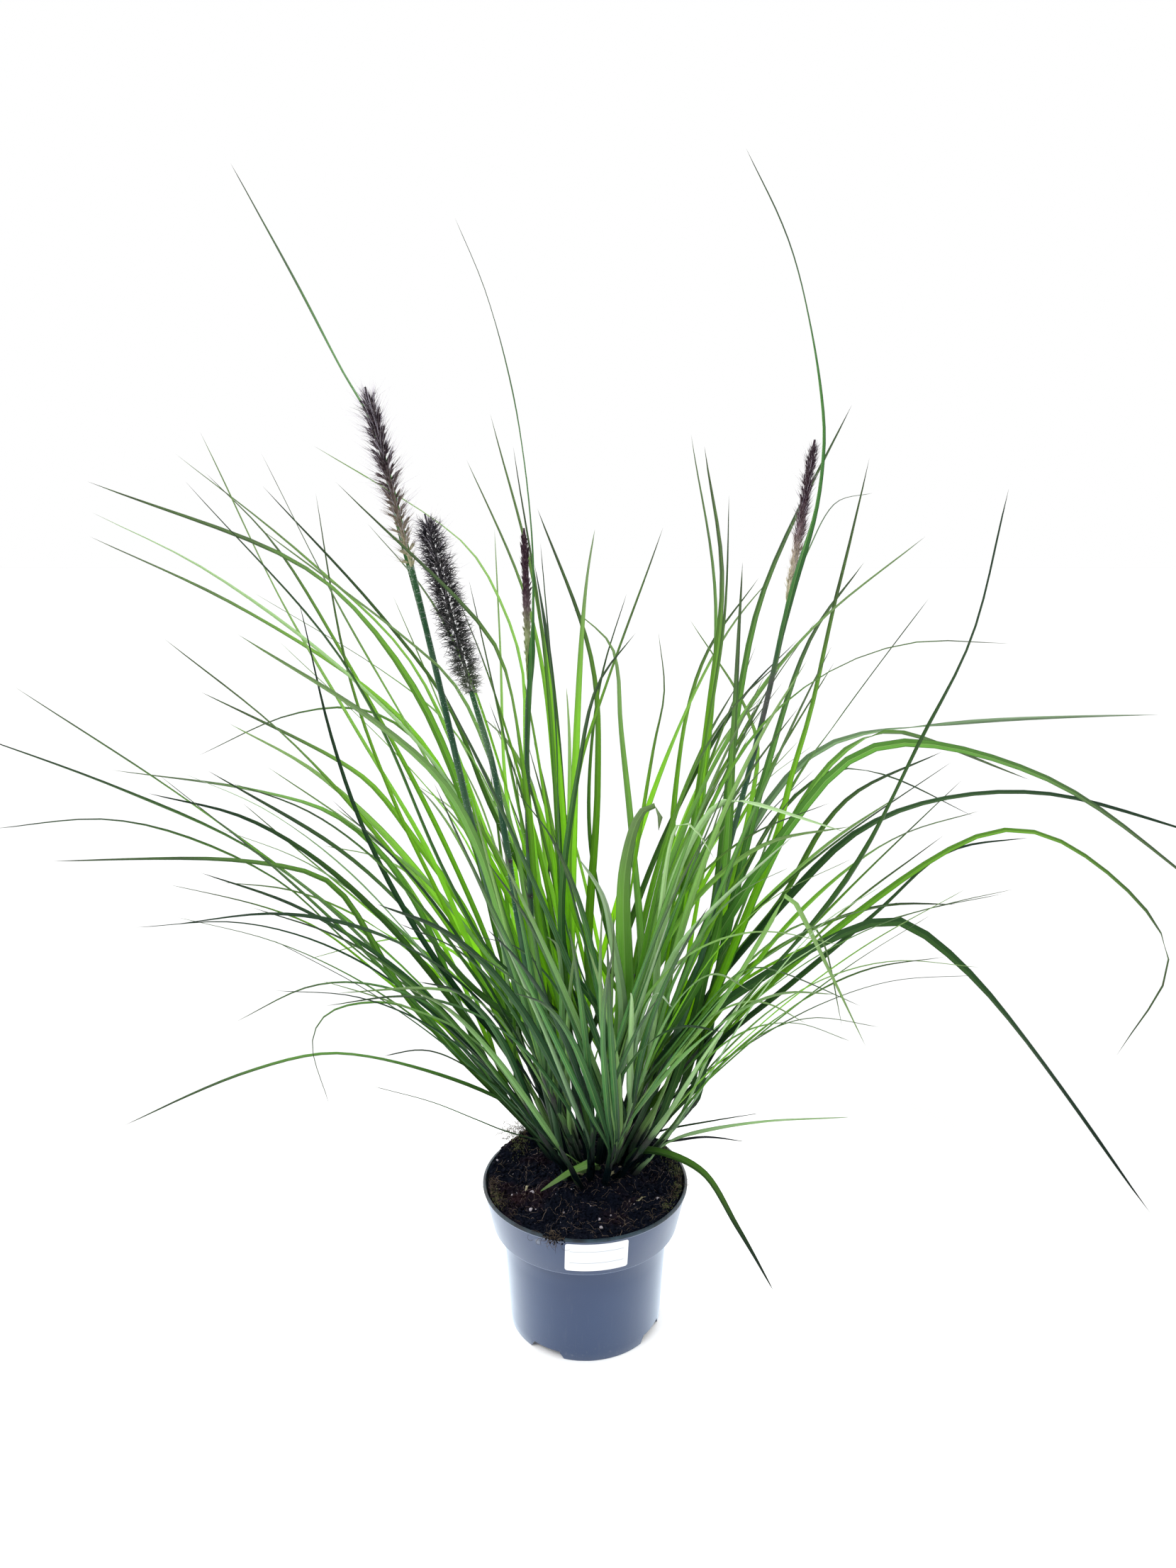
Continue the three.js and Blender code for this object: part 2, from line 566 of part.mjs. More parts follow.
// A leaf through the given points. Its roll and its twist are drawn by the caller, once for all the places
// it tries.
function makeBlade(points, width, { roll, twist }, mostRings = BLADE.mostRings) {
  const curve = new THREE.CatmullRomCurve3(points, false, "centripetal");
  curve.arcLengthDivisions = 80;
  const reach = points[points.length - 1].clone().sub(points[0]).setZ(0);
  const firstSide = new THREE.Vector3().crossVectors(UP, reach.normalize());
  const stations = framesAlong(curve, ringShares(curve, twist, mostRings), firstSide, roll, twist);
  stations.forEach((s) => {
    s.halfWidth = bladeHalfWidth(width, s.share);
    s.depth = Math.min(BLADE.depth, BLADE.depth / 2 + s.halfWidth);
  });
  return { stations, parts: partsOf(3, stations, bladeSection, curve.getLength()) };
}

const drawnTurn = () => ({
  roll: rad(between(-BLADE.rollDeg, BLADE.rollDeg)),
  twist: rad(between(-BLADE.twistDeg, BLADE.twistDeg)),
});

// Clearance. Each stretch between two rings is kept as its corners and the directions in which it could be
// parted from another stretch.

function partsOf(sides, stations, section, length) {
  const corners = stations.map((s) => {
    if (s.halfWidth === 0) return [s.centre];
    return Array.from({ length: sides }, (_, k) => {
      const angle = (k / sides) * Math.PI * 2;
      return section(s, Math.sin(angle), Math.cos(angle));
    });
  });
  return stations.slice(1).map((s, i) => {
    const all = [...corners[i], ...corners[i + 1]];
    const along = s.centre.clone().sub(stations[i].centre).normalize();
    const facing = s.up.clone().add(stations[i].up);
    return {
      corners: all,
      box: new THREE.Box3().setFromPoints(all).expandByScalar(CLEARANCE / 2),
      middle: s.centre.clone().add(stations[i].centre).multiplyScalar(0.5),
      along,
      directions: [along, s.up, stations[i].up, s.side, stations[i].side, facing.normalize()],
      fromRoot: stations[i].share * length,
    };
  });
}

function parted(a, b, direction) {
  if (direction.lengthSq() < 1e-8) return false;
  const n = direction.clone().normalize();
  let [aLow, aHigh, bLow, bHigh] = [Infinity, -Infinity, Infinity, -Infinity];
  for (const p of a.corners) {
    const d = p.dot(n);
    aLow = Math.min(aLow, d);
    aHigh = Math.max(aHigh, d);
  }
  for (const p of b.corners) {
    const d = p.dot(n);
    bLow = Math.min(bLow, d);
    bHigh = Math.max(bHigh, d);
  }
  return aLow - bHigh > CLEARANCE || bLow - aHigh > CLEARANCE;
}

function clearOf(a, b) {
  if (!a.box.intersectsBox(b.box)) return true;
  const cross = new THREE.Vector3().crossVectors(a.along, b.along);
  if (parted(a, b, cross) || parted(a, b, a.middle.clone().sub(b.middle))) return true;
  return a.directions.some((d) => parted(a, b, d)) || b.directions.some((d) => parted(a, b, d));
}

// Everything that stands already: { owner, part }.
const standing = [];
const addStanding = (owner, parts) => parts.forEach((part) => standing.push({ owner, part }));

function fits(owner, parts) {
  const overPot = (p) => Math.hypot(p.x, p.y) < POT.rimRadius + RIM_ROOM.outside;
  const inRim = (p) => overPot(p) && p.z < POT.height + RIM_ROOM.above;
  for (const part of parts) {
    const nearRoot = part.fromRoot < ROOT_ZONE;
    if (!nearRoot && part.corners.some(inRim)) return false;
    if (part.corners.some((p) => p.z < GROUND_ROOM)) return false;
    for (const other of standing) {
      const ownRoot = other.owner === owner && (nearRoot || other.part.fromRoot < ROOT_ZONE);
      if (!ownRoot && !clearOf(part, other.part)) return false;
    }
  }
  return true;
}

// Stems

// One candidate for a stem: they open out from the crown like a fan, the outer ones leaning more.
function drawnStem(index) {
  const stray = (most) => between(-most, most);
  const turn = index * GOLDEN_ANGLE;
  const r = CROWN.spacing * Math.sqrt(index + 0.4);
  const spread = r / (CROWN.spacing * Math.sqrt(TILLER.count));
  const out = around(turn, r).add(vector([stray(TILLER.strayPlace), stray(TILLER.strayPlace), 0]));
  const base = new THREE.Vector3(CROWN.x + out.x, CROWN.y + out.y, 0);
  base.z = soilHeight(base.x, base.y) - 1;
  const lean = rad(lerp(CROWN.leanMin, CROWN.leanMax, spread) + stray(TILLER.strayLeanDeg));
  const heading = turn + rad(stray(TILLER.strayHeadingDeg));
  const axis = around(heading, Math.sin(lean), Math.cos(lean));
  const length = lerp(TILLER.longest, TILLER.shortest, spread) + stray(TILLER.strayLength);
  return { base, axis, length, heading, leaves: [] };
}

function growStems() {
  const stems = [];
  for (let index = 0; stems.length < TILLER.count; index += 1) {
    for (let attempt = 0; attempt < TILLER.tries; attempt += 1) {
      const stem = drawnStem(index);
      stem.name = `tiller_${String(stems.length + 1).padStart(2, "0")}`;
      const parts = partsOf(TILLER.sides, stemStations(stem), roundSection, 0);
      if (!standing.every((other) => parts.every((part) => clearOf(part, other.part)))) continue;
      addStanding(stem.name, parts);
      stems.push(stem);
      break;
    }
  }
  return stems;
}

function stemStations(stem) {
  const side = new THREE.Vector3().crossVectors(UP, stem.axis).normalize();
  const up = new THREE.Vector3().crossVectors(stem.axis, side);
  return [-TILLER.holeDepth, stem.length].map((along, i) => ({
    share: i,
    centre: stem.base.clone().addScaledVector(stem.axis, along),
    side,
    up,
    halfWidth: i ? TILLER.topRadius : TILLER.baseRadius,
  }));
}

// The path of a leaf that grows out of a stem along it and then passes the given points.
function leafPath(stem, height, points) {
  const root = stem.base.clone().addScaledVector(stem.axis, height - BLADE.sink);
  const free = stem.base.clone().addScaledVector(stem.axis, height + BLADE.freeFrom);
  return [root, free, ...points];
}

function alongSight(point, millimetres) {
  const sight = point.clone().sub(VIEW_POINT);
  return point.clone().addScaledVector(sight.normalize(), millimetres);
}

// The stems that a leaf could grow from, best first: near its first point, with room at that height.
function rankStems(stems, first) {
  const ranked = stems.map((stem) => {
    const offset = first.clone().sub(stem.base);
    const along = offset.dot(stem.axis);
    const away = offset.addScaledVector(stem.axis, -along).length();
    const wanted = along - away * CHOOSE.belowPerAway - CHOOSE.below;
    const height = clamp(wanted, CHOOSE.lowest, stem.length - CHOOSE.fromTop);
    const near = (leaf) => Math.abs(leaf.height - height) < CHOOSE.crowdedWithin;
    const crowding = stem.leaves.filter(near).length * CHOOSE.crowdedCost;
    const score = away + crowding + stem.leaves.length * CHOOSE.leafCost;
    return { stem, height, score };
  });
  return ranked.sort((a, b) => a.score - b.score).slice(0, CHOOSE.stems);
}

// A leaf seen from the front keeps its look from there, and its tip lies nearer or farther along the line
// of sight by a drawn amount, so that the clump is as full from the side. Where it would cross another
// leaf, it moves by these steps.
const SIGHT_STEPS = [0, 5, -5, 10, -10, 16, -16, 24, -24, 34, -34];

function growSeenLeaf(stems, [width, ...through], [nearest, farthest]) {
  const depth = between(nearest, farthest);
  const points = through.map(vector);
  const turn = drawnTurn();
  const choices = rankStems(stems, points[0]);
  for (const step of SIGHT_STEPS) {
    for (const { stem, height } of choices) {
      const moved = points.map((p, i) => alongSight(p, ((depth + step) * (i + 1)) / points.length));
      const blade = makeBlade(leafPath(stem, height, moved), width, turn);
      if (fits(stem.name, blade.parts)) {
        addStanding(stem.name, blade.parts);
        stem.leaves.push({ blade, height });
        return;
      }
    }
  }
}

// The rest of the clump: each leaf leans further from upright towards its tip, in a plane of its own.
function drawnLeaf(stem) {
  const plan = DRAWN_LEAF;
  const height = between(...plan.height) * stem.length;
  const azimuth = stem.heading + rad(between(-plan.fanDeg, plan.fanDeg));
  const towardsFront = Math.max(0, -Math.sin(azimuth)) ** 0.7;
  const length = lerp(between(...plan.length), between(...plan.frontLength), towardsFront);
  const startLean = Math.acos(stem.axis.z) + rad(between(-plan.strayLeanDeg, plan.strayLeanDeg));
  const endLean = rad(between(...plan.endLeanDeg));
  const onset = between(...plan.onset);
  const sweep = rad(between(-plan.sweepDeg, plan.sweepDeg));
  const at = stem.base.clone().addScaledVector(stem.axis, height + BLADE.freeFrom);
  const points = [];
  const steps = 30;
  for (let i = 1; i <= steps; i += 1) {
    const share = i / steps;
    const lean = startLean + (endLean - startLean) * share ** onset;
    const facing = azimuth + sweep * share * share;
    at.add(around(facing, Math.sin(lean), Math.cos(lean)).multiplyScalar(length / steps));
    if (i % 6 === 0) points.push(at.clone());
  }
  return { height, points, width: between(...plan.width) };
}

// The height at which a point in front of the crown is seen against it.
function seenHeight(p) {
  return lerp(VIEW_POINT.z, p.z, (CROWN.y - VIEW_POINT.y) / (p.y - VIEW_POINT.y));
}

function insideEnvelope(points) {
  const tip = points[points.length - 1];
  const depth = tip.y > 0 ? ENVELOPE.back : ENVELOPE.front;
  const skirt = (p) => ENVELOPE.skirt + ENVELOPE.skirtSlope * Math.hypot(p.x - CROWN.x, p.y - CROWN.y);
  const allowed = (p) => p.z < ENVELOPE.top && p.z > skirt(p);
  const beforeStems = (p) => p.y < CROWN.y && seenHeight(p) < ENVELOPE.bareStems;
  const outer = points.slice(2);
  if (!points.slice(1).every(allowed) || outer.some(beforeStems)) return false;
  return (tip.x / ENVELOPE.x) ** 2 + (tip.y / depth) ** 2 < 1;
}

function growDrawnLeaf(stem) {
  for (let attempt = 0; attempt < DRAWN_LEAF.tries; attempt += 1) {
    const { height, points, width } = drawnLeaf(stem);
    const turn = drawnTurn();
    const crowded = stem.leaves.some((other) => Math.abs(other.height - height) < DRAWN_LEAF.room);
    if (crowded || !insideEnvelope(points)) continue;
    const blade = makeBlade(leafPath(stem, height, points), width, turn, DRAWN_LEAF.mostRings);
    if (fits(stem.name, blade.parts)) {
      addStanding(stem.name, blade.parts);
      stem.leaves.push({ blade, height });
      return;
    }
  }
}

// Flowering stems and their spikes

function culmStem(plan, index) {
  const [[x, y], ...rest] = plan.path;
  const ground = new THREE.Vector3(x, y, soilHeight(x, y) - 1);
  const axis = vector(rest[0]).sub(ground).normalize();
  const foot = ground.clone().addScaledVector(axis, -TILLER.holeDepth);
  const curve = new THREE.CatmullRomCurve3([foot, ground, ...rest.map(vector)], false, "centripetal");
  const shares = Array.from({ length: CULM.rings + 1 }, (_, i) => i / CULM.rings);
  const stations = framesAlong(curve, shares, new THREE.Vector3(0, 1, 0), 0, 0);
  stations.forEach((s) => (s.halfWidth = lerp(CULM.baseRadius, CULM.topRadius, s.share)));
  const name = `culm_${index + 1}`;
  const parts = partsOf(CULM.sides, stations, roundSection, 0);
  return { name, plan, curve, stations, parts, base: ground, axis };
}

function culmLeaf(culm, [width, share, ...through]) {
  const root = culm.curve.getPointAt(share);
  const free = culm.curve.getPointAt(share + CULM.leafFree);
  const blade = makeBlade([root, free, ...through.map(vector)], width, drawnTurn());
  addStanding(culm.name, blade.parts);
  return blade;
}

function spikeAxis(culm) {
  const end = culm.curve.getPointAt(1);
  const tip = vector(culm.plan.spike.tip);
  const middle = end.clone().lerp(tip, 0.5).addScaledVector(culm.curve.getTangentAt(1), SPIKE.bow);
  const start = end.clone().addScaledVector(culm.curve.getTangentAt(1), GAP);
  return new THREE.CatmullRomCurve3([start, middle, tip], false, "centripetal");
}

function spikeSolid({ curve, plan }) {
  const { bristle, angle, core, count } = plan.spike;
  const stations = framesAlong(curve, SPIKE.shares, new THREE.Vector3(0, 1, 0), 0, 0);
  stations.forEach((s, i) => (s.halfWidth = core * SPIKE.fullness[i]));
  let solid = toSolid(bend(SPIKE.sides, stations, roundSection));
  for (let i = 0; i < count; i += 1) {
    const share = lerp(SPIKE.first, SPIKE.last, (i + 0.5) / count);
    const [station] = framesAlong(curve, [share], new THREE.Vector3(0, 1, 0), i * GOLDEN_ANGLE, 0);
    const lean = rad(angle * lerp(SPIKE.openAtFoot, SPIKE.openAtTip, share));
    const aim = station.tangent.clone().multiplyScalar(Math.cos(lean));
    aim.addScaledVector(station.up, Math.sin(lean));
    const long = core + bristle * (share < SPIKE.shortUpTo ? SPIKE.shortBy : 1);
    const needle = new THREE.ConeGeometry(1, long, 3, 1, false).translate(0, long / 2, 0);
    needle.applyQuaternion(new THREE.Quaternion().setFromUnitVectors(new THREE.Vector3(0, 1, 0), aim));
    const root = station.centre.addScaledVector(station.up, core / 4);
    solid = solid.add(toSolid(needle.translate(root.x, root.y, root.z)));
  }
  return solid;
}

// Room that a spike needs, as one fat six-sided stretch after another.
function spikeRoom(curve, plan) {
  const { bristle, angle, core } = plan.spike;
  const stations = framesAlong(curve, [0, 0.33, 0.67, 1], new THREE.Vector3(0, 1, 0), 0, 0);
  stations.forEach((s) => (s.halfWidth = core + bristle * Math.sin(rad(angle)) + 0.5));
  return partsOf(6, stations, roundSection, 0);
}

// Assembly

const group = new THREE.Group();
const culms = CULMS.map(culmStem);
culms.forEach((culm) => {
  addStanding(culm.name, culm.parts);
  culm.spikeCurve = spikeAxis(culm);
  addStanding(`${culm.name}_spike`, spikeRoom(culm.spikeCurve, culm.plan));
});
culms.forEach((culm) => {
  culm.blades = culm.plan.leaves.map((leaf) => culmLeaf(culm, leaf));
});
const stems = growStems();

const SEEN_LEAVES = [
  { leaves: LOW_FRONT_LEAVES, depth: [0, 0] },
  { leaves: LEFT_LOW_LEAVES, depth: [-30, 70] },
  { leaves: RIGHT_LONG_LEAVES, depth: [-60, 130] },
  { leaves: LEFT_LONG_LEAVES, depth: [-60, 150] },
  { leaves: RIGHT_HIGH_LEAVES, depth: [-70, 190] },
  { leaves: UPRIGHT_LEAVES, depth: [-90, 220] },
  { leaves: LEFT_HIGH_LEAVES, depth: [-80, 200] },
];
SEEN_LEAVES.forEach(({ leaves, depth }) => leaves.forEach((leaf) => growSeenLeaf(stems, leaf, depth)));
for (let turn = 0; turn < DRAWN_LEAF.perStem; turn += 1) stems.forEach((stem) => growDrawnLeaf(stem));

const holes = [
  ...stems.map((stem) => ({ base: stem.base, axis: stem.axis, radius: TILLER.baseRadius })),
  ...culms.map((culm) => ({ base: culm.base, axis: culm.axis, radius: CULM.baseRadius })),
];
group.add(toMesh("pot", potSolid(), COLOURS.pot, 0.45));
group.add(toMesh("label", labelSolid(), COLOURS.label, 0.5));
group.add(toMesh("soil", soilSolid(holes), COLOURS.soil, 1));

const bladeSolid = (blade) => toSolid(bend(3, blade.stations, bladeSection));
stems.forEach((stem) => {
  const bare = toSolid(bend(TILLER.sides, stemStations(stem), roundSection));
  const solid = stem.leaves.reduce((sum, leaf) => sum.add(bladeSolid(leaf.blade)), bare);
  group.add(toMesh(stem.name, outerBody(solid), COLOURS.leaf, 0.5));
});
culms.forEach((culm, i) => {
  const bare = toSolid(bend(CULM.sides, culm.stations, roundSection));
  const solid = culm.blades.reduce((sum, blade) => sum.add(bladeSolid(blade)), bare);
  group.add(toMesh(culm.name, outerBody(solid), COLOURS.culm, 0.5));
  const spike = spikeSolid({ curve: culm.spikeCurve, plan: culm.plan });
  group.add(toMesh(`spike_${i + 1}`, spike, COLOURS.spike, 0.8));
});

export default group;
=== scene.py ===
# %% [markdown]
# # A potted fountain grass with dark flower spikes
#
# The frame that is loaded here already holds every piece of the plant at its real size and place: the pot
# and its label, the soil, 28 leafy stems, four flowering stems and their spikes. They are plain faceted
# solids. Each step below takes one kind of piece, says what it is on the real plant, and models it again,
# finer, where the frame says that it stands.

import random
from bisect import bisect_right
from math import atan2, cos, exp, hypot, radians, sin, sqrt, tau

import bmesh
import bpy
from mathutils import Matrix, Quaternion, Vector, noise
from mathutils.kdtree import KDTree


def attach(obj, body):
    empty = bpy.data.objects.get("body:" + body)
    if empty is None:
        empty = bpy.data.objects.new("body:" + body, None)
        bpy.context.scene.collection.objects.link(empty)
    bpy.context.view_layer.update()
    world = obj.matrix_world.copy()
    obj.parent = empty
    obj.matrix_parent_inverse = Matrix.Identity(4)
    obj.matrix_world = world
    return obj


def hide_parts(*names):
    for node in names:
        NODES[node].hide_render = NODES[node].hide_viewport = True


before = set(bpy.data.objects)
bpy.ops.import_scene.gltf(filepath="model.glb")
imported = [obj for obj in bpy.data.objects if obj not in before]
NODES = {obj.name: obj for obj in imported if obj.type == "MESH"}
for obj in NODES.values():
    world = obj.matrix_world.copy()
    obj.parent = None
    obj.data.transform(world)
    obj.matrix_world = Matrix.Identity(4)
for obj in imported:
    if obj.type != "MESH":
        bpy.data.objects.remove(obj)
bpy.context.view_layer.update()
MM = 0.001
UP = Vector((0, 0, 1))
scene = bpy.context.scene

# %% [markdown]
# ## Camera
#
# The photo looks slightly down on the pot from close by. The pot's three ellipses, at its rim, band and
# foot, fix how far away the eye is, how high, and how much it looks down.

# %% Camera
EYE = Vector((0, -0.865, 0.696))
LOOKS_DOWN_DEG = 14.85
FILM_HEIGHT = 36.0
FOCAL_LENGTH = 27.03
SHIFT = 4 / 2212  # the pot's axis is 4 pixels left of the photo's middle

camera_data = bpy.data.cameras.new("camera")
camera_data.sensor_fit = "VERTICAL"
camera_data.sensor_height = FILM_HEIGHT
camera_data.lens = FOCAL_LENGTH
camera_data.shift_x = SHIFT
camera_data.clip_start = 0.02
camera = bpy.data.objects.new("camera", camera_data)
camera.location = EYE
camera.rotation_euler = (radians(90 - LOOKS_DOWN_DEG), 0, 0)
scene.collection.objects.link(camera)
scene.camera = camera

# %% [markdown]
# ## Finishes written as sums
#
# A finish is a tree of nodes. `Wire` wraps one output of a node, so that an ordinary sum such as
# `1 - mask * 0.4` adds the Math nodes by itself, and `Nodes.node` adds any other node. Colours go through
# Mix nodes, because a Math node would turn them grey, and are written as a screen shows them, from 0 to
# 255. What is the same all over is set on the shader.

# %% Wire, Nodes and Finish
class Wire:
    """One output of a node, which can be used in sums."""

    def __init__(self, nodes, socket):
        self.nodes = nodes
        self.socket = socket

    def math(self, operation, *values):
        return self.nodes.node("ShaderNodeMath", {"operation": operation}, dict(enumerate(values)))

    def __add__(self, other):
        return self.math("ADD", self, other)

    def __sub__(self, other):
        return self.math("SUBTRACT", self, other)

    def __rsub__(self, other):
        return self.math("SUBTRACT", other, self)

    def __mul__(self, other):
        return self.math("MULTIPLY", self, other)

    __radd__ = __add__
    __rmul__ = __mul__

    def sine(self):
        return self.math("SINE", self)

    def size(self):
        return self.math("ABSOLUTE", self)

    def between(self, low, high):
        """0 below low, 1 above high and even between them; the other way round if low is the larger."""
        sockets = {"Value": self, "From Min": low, "From Max": high}
        return self.nodes.node("ShaderNodeMapRange", {"clamp": True}, sockets)


def paint(colour):
    """A colour as a screen shows it, 0 to 255, turned into the shader's. Anything else stays as it is."""
    if isinstance(colour, Wire) or len(colour) == 4:
        return colour
    shares = [value / 255 for value in colour]
    return (*(s / 12.92 if s <= 0.04045 else ((s + 0.055) / 1.055) ** 2.4 for s in shares), 1)


class Nodes:
    """The nodes of the world or of a material."""

    def __init__(self, owner):
        owner.use_nodes = True
        self.tree = owner.node_tree

    def node(self, kind, settings, sockets, out=0):
        """Add a node: its settings first, then the values or links of its sockets."""
        node = self.tree.nodes.new(kind)
        for key, value in settings.items():
            if key == "stops":
                self.set_stops(node.color_ramp, value)
            else:
                setattr(node, key, value)
        for key, value in sockets.items():
            self.feed(node.inputs[key], value)
        return Wire(self, node.outputs[out])

    def feed(self, socket, value):
        if isinstance(value, Wire):
            self.tree.links.new(value.socket, socket)
        else:
            socket.default_value = value

    def set_stops(self, ramp, stops):
        for place, *_ in stops[2:]:
            ramp.elements.new(place)
        for element, (place, *colour) in zip(ramp.elements, stops):
            element.position = place
            element.color = paint(colour)


class Finish(Nodes):
    """A material that is built node by node round one Principled shader."""

    def __init__(self, name, **constants):
        self.material = bpy.data.materials.new(name)
        super().__init__(self.material)
        self.surface = self.tree.nodes["Principled BSDF"]
        self.set(**constants)

    def set(self, **values):
        for words, value in values.items():
            self.feed(self.surface.inputs[words.replace("_", " ")], value)

    def place(self, scale=(1, 1, 1)):
        """Object coordinates, stretched."""
        here = self.node("ShaderNodeTexCoord", {}, {}, "Object")
        return self.node("ShaderNodeMapping", {}, {"Vector": here, "Scale": scale})

    def height(self):
        return self.node("ShaderNodeSeparateXYZ", {}, {"Vector": self.place()}, "Z")

    def away(self, point):
        """How far a place is from a point."""
        return self.node("ShaderNodeVectorMath", {"operation": "DISTANCE"}, {0: self.place(), 1: point}, 1)

    def noise(self, scale, detail=3, stretch=(1, 1, 1)):
        sockets = {"Vector": self.place(stretch), "Scale": scale, "Detail": detail}
        return self.node("ShaderNodeTexNoise", {}, sockets)

    def attribute(self, name):
        return self.node("ShaderNodeAttribute", {"attribute_name": name}, {}, "Fac")

    def coats(self, colour, *coats):
        """Lay colours over one another: each coat is how much it covers, and its colour."""
        for share, coat in coats:
            sockets = {0: share, 6: paint(colour), 7: paint(coat)}
            colour = self.node("ShaderNodeMix", {"data_type": "RGBA"}, sockets, 2)
        return colour

    def ramp(self, value, *stops):
        """Colours along a value. Each stop is a place from 0 to 1 and three numbers for its colour."""
        return self.node("ShaderNodeValToRGB", {"stops": stops}, {"Fac": value})

    def bump(self, height, millimetres):
        self.set(Normal=self.node("ShaderNodeBump", {}, {"Height": height, "Distance": millimetres * MM}))

    def glow(self, colour, share):
        """Let light through: a leaf lit from behind shows this colour."""
        through = self.node("ShaderNodeBsdfTranslucent", {}, {"Color": colour})
        shaders = {0: share, 1: Wire(self, self.surface.outputs[0]), 2: through}
        both = self.node("ShaderNodeMixShader", {}, shaders)
        self.feed(self.tree.nodes["Material Output"].inputs["Surface"], both)


def two_tones(name, scale, dark, light, edges=(0, 1), detail=3, grain=None, **constants):
    """A finish whose colours are mixed by a noise. Its grain is another: scale, detail, millimetres."""
    finish = Finish(name, **constants)
    finish.set(Base_Color=finish.coats(dark, (finish.noise(scale, detail).between(*edges), light)))
    if grain:
        finish.bump(finish.noise(*grain[:2]), grain[2])
    return finish


# %% [markdown]
# ## Helpers for meshes
#
# `finished` turns a bmesh into a piece that rides on the frame. `wrapped` makes everything long and thin
# here, from a leaf to a bristle: it starts as Blender's flat grid, whose corners are then laid round a
# path, row by row, and merged where they meet.

# %% Mesh helpers
BATCH = 50
DOUBLES = 1e-7


def millimetres(*numbers):
    return Vector(numbers) * MM


def smooth(value, low, high):
    """0 at low and beyond it, 1 at high and beyond it, with a soft start and end."""
    share = min(max((value - low) / (high - low), 0), 1)
    return share * share * (3 - 2 * share)


def blend(first, second, share):
    return first + (second - first) * share


def as_object(name, shape):
    mesh = bpy.data.meshes.new(name)
    shape.to_mesh(mesh)
    shape.free()
    thing = bpy.data.objects.new(name, mesh)
    scene.collection.objects.link(thing)
    return thing


def finished(name, shape, finishes, replaced=(), sharp_deg=None):
    """Turn a bmesh into a piece at the origin that rides on the one body."""
    piece = as_object(name, shape)
    mesh = piece.data
    for finish in finishes:
        mesh.materials.append(finish.material)
    mesh.shade_smooth()
    if sharp_deg:
        mesh.set_sharp_from_angle(angle=radians(sharp_deg))
    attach(piece, "root")
    if replaced:
        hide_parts(*replaced)
    print(f"{name}: {sum(len(face.vertices) - 2 for face in mesh.polygons)} triangles")
    return piece


def wrapped(shape, rows, values=None):
    """Lay a grid along rows of corners. The first and last row may be one point, so the end is closed.

    values are for the shape's float layers: a number each, or a function of the row and the column."""
    along = len(rows) - 1
    around = len(rows[0]) - 1
    made = bmesh.ops.create_grid(shape, x_segments=around, y_segments=along, size=0.5)["verts"]
    layers = [(shape.verts.layers.float[name], value) for name, value in (values or {}).items()]
    for vert in made:
        column = round((vert.co.x + 0.5) * around)
        row = round((vert.co.y + 0.5) * along)
        vert.co = rows[row][column]
        for layer, value in layers:
            vert[layer] = value(row, column) if callable(value) else value
    return made


def with_layers(*names):
    shape = bmesh.new()
    for name in names:
        shape.verts.layers.float.new(name)
    return shape


def merged(shape):
    """Close the seams and poles of everything that was wrapped."""
    bmesh.ops.remove_doubles(shape, verts=shape.verts, dist=DOUBLES)
    return shape


def gathered(make, plans, layers=()):
    """Make many small things, a batch at a time, and join them.

    An operator looks through its whole bmesh, so that thousands of hairs in one would take minutes."""
    whole = with_layers(*layers)
    store = bpy.data.meshes.new("store")
    for start in range(0, len(plans), BATCH):
        batch = with_layers(*layers)
        for plan in plans[start:start + BATCH]:
            make(batch, *plan)
        merged(batch).to_mesh(store)
        batch.free()
        whole.from_mesh(store)
    bpy.data.meshes.remove(store)
    return whole


def sliced(shape, place, normal):
    """Cut right through along a plane, which only adds edges."""
    everything = shape.verts[:] + shape.edges[:] + shape.faces[:]
    bmesh.ops.bisect_plane(shape, geom=everything, dist=1e-6, plane_co=place, plane_no=normal)


# %% [markdown]
# ## Light and floor
#
# The plant stands in a white studio. More light comes from behind it than from the camera's side, so thin
# leaves glow and the pot's edges turn white. The world does that with one background that grows brighter
# from front to back. The camera itself sees a second background that is exactly white: seen brighter than
# that, it would eat away the fine tips of the leaves. The Standard view transform keeps white white.

# %% World and lamp
scene.view_settings.view_transform = "Standard"
SKY_BEHIND = 3.4  # brightness of the studio behind the plant
SKY_BEFORE = 1.0  # and behind the camera
SKY_TURNS_AT = 0.7  # how far forward and back a direction points where the change ends
WHITE = (1, 1, 1, 1)


def white_studio():
    world = bpy.data.worlds.new("white studio")
    studio = Nodes(world)
    studio.tree.nodes.remove(studio.tree.nodes["Background"])
    direction = studio.node("ShaderNodeTexCoord", {}, {}, "Generated")
    sockets = {
        "Value": studio.node("ShaderNodeSeparateXYZ", {}, {"Vector": direction}, "Y"),
        "From Min": -SKY_TURNS_AT, "From Max": SKY_TURNS_AT, "To Min": SKY_BEFORE, "To Max": SKY_BEHIND,
    }
    brightness = studio.node("ShaderNodeMapRange", {}, sockets)
    sky = studio.node("ShaderNodeBackground", {}, {"Color": WHITE, "Strength": brightness})
    backdrop = studio.node("ShaderNodeBackground", {}, {"Color": WHITE})
    camera_ray = studio.node("ShaderNodeLightPath", {}, {}, "Is Camera Ray")
    chosen = studio.node("ShaderNodeMixShader", {}, {0: camera_ray, 1: sky, 2: backdrop})
    studio.feed(world.node_tree.nodes["World Output"].inputs["Surface"], chosen)
    return world


scene.world = white_studio()

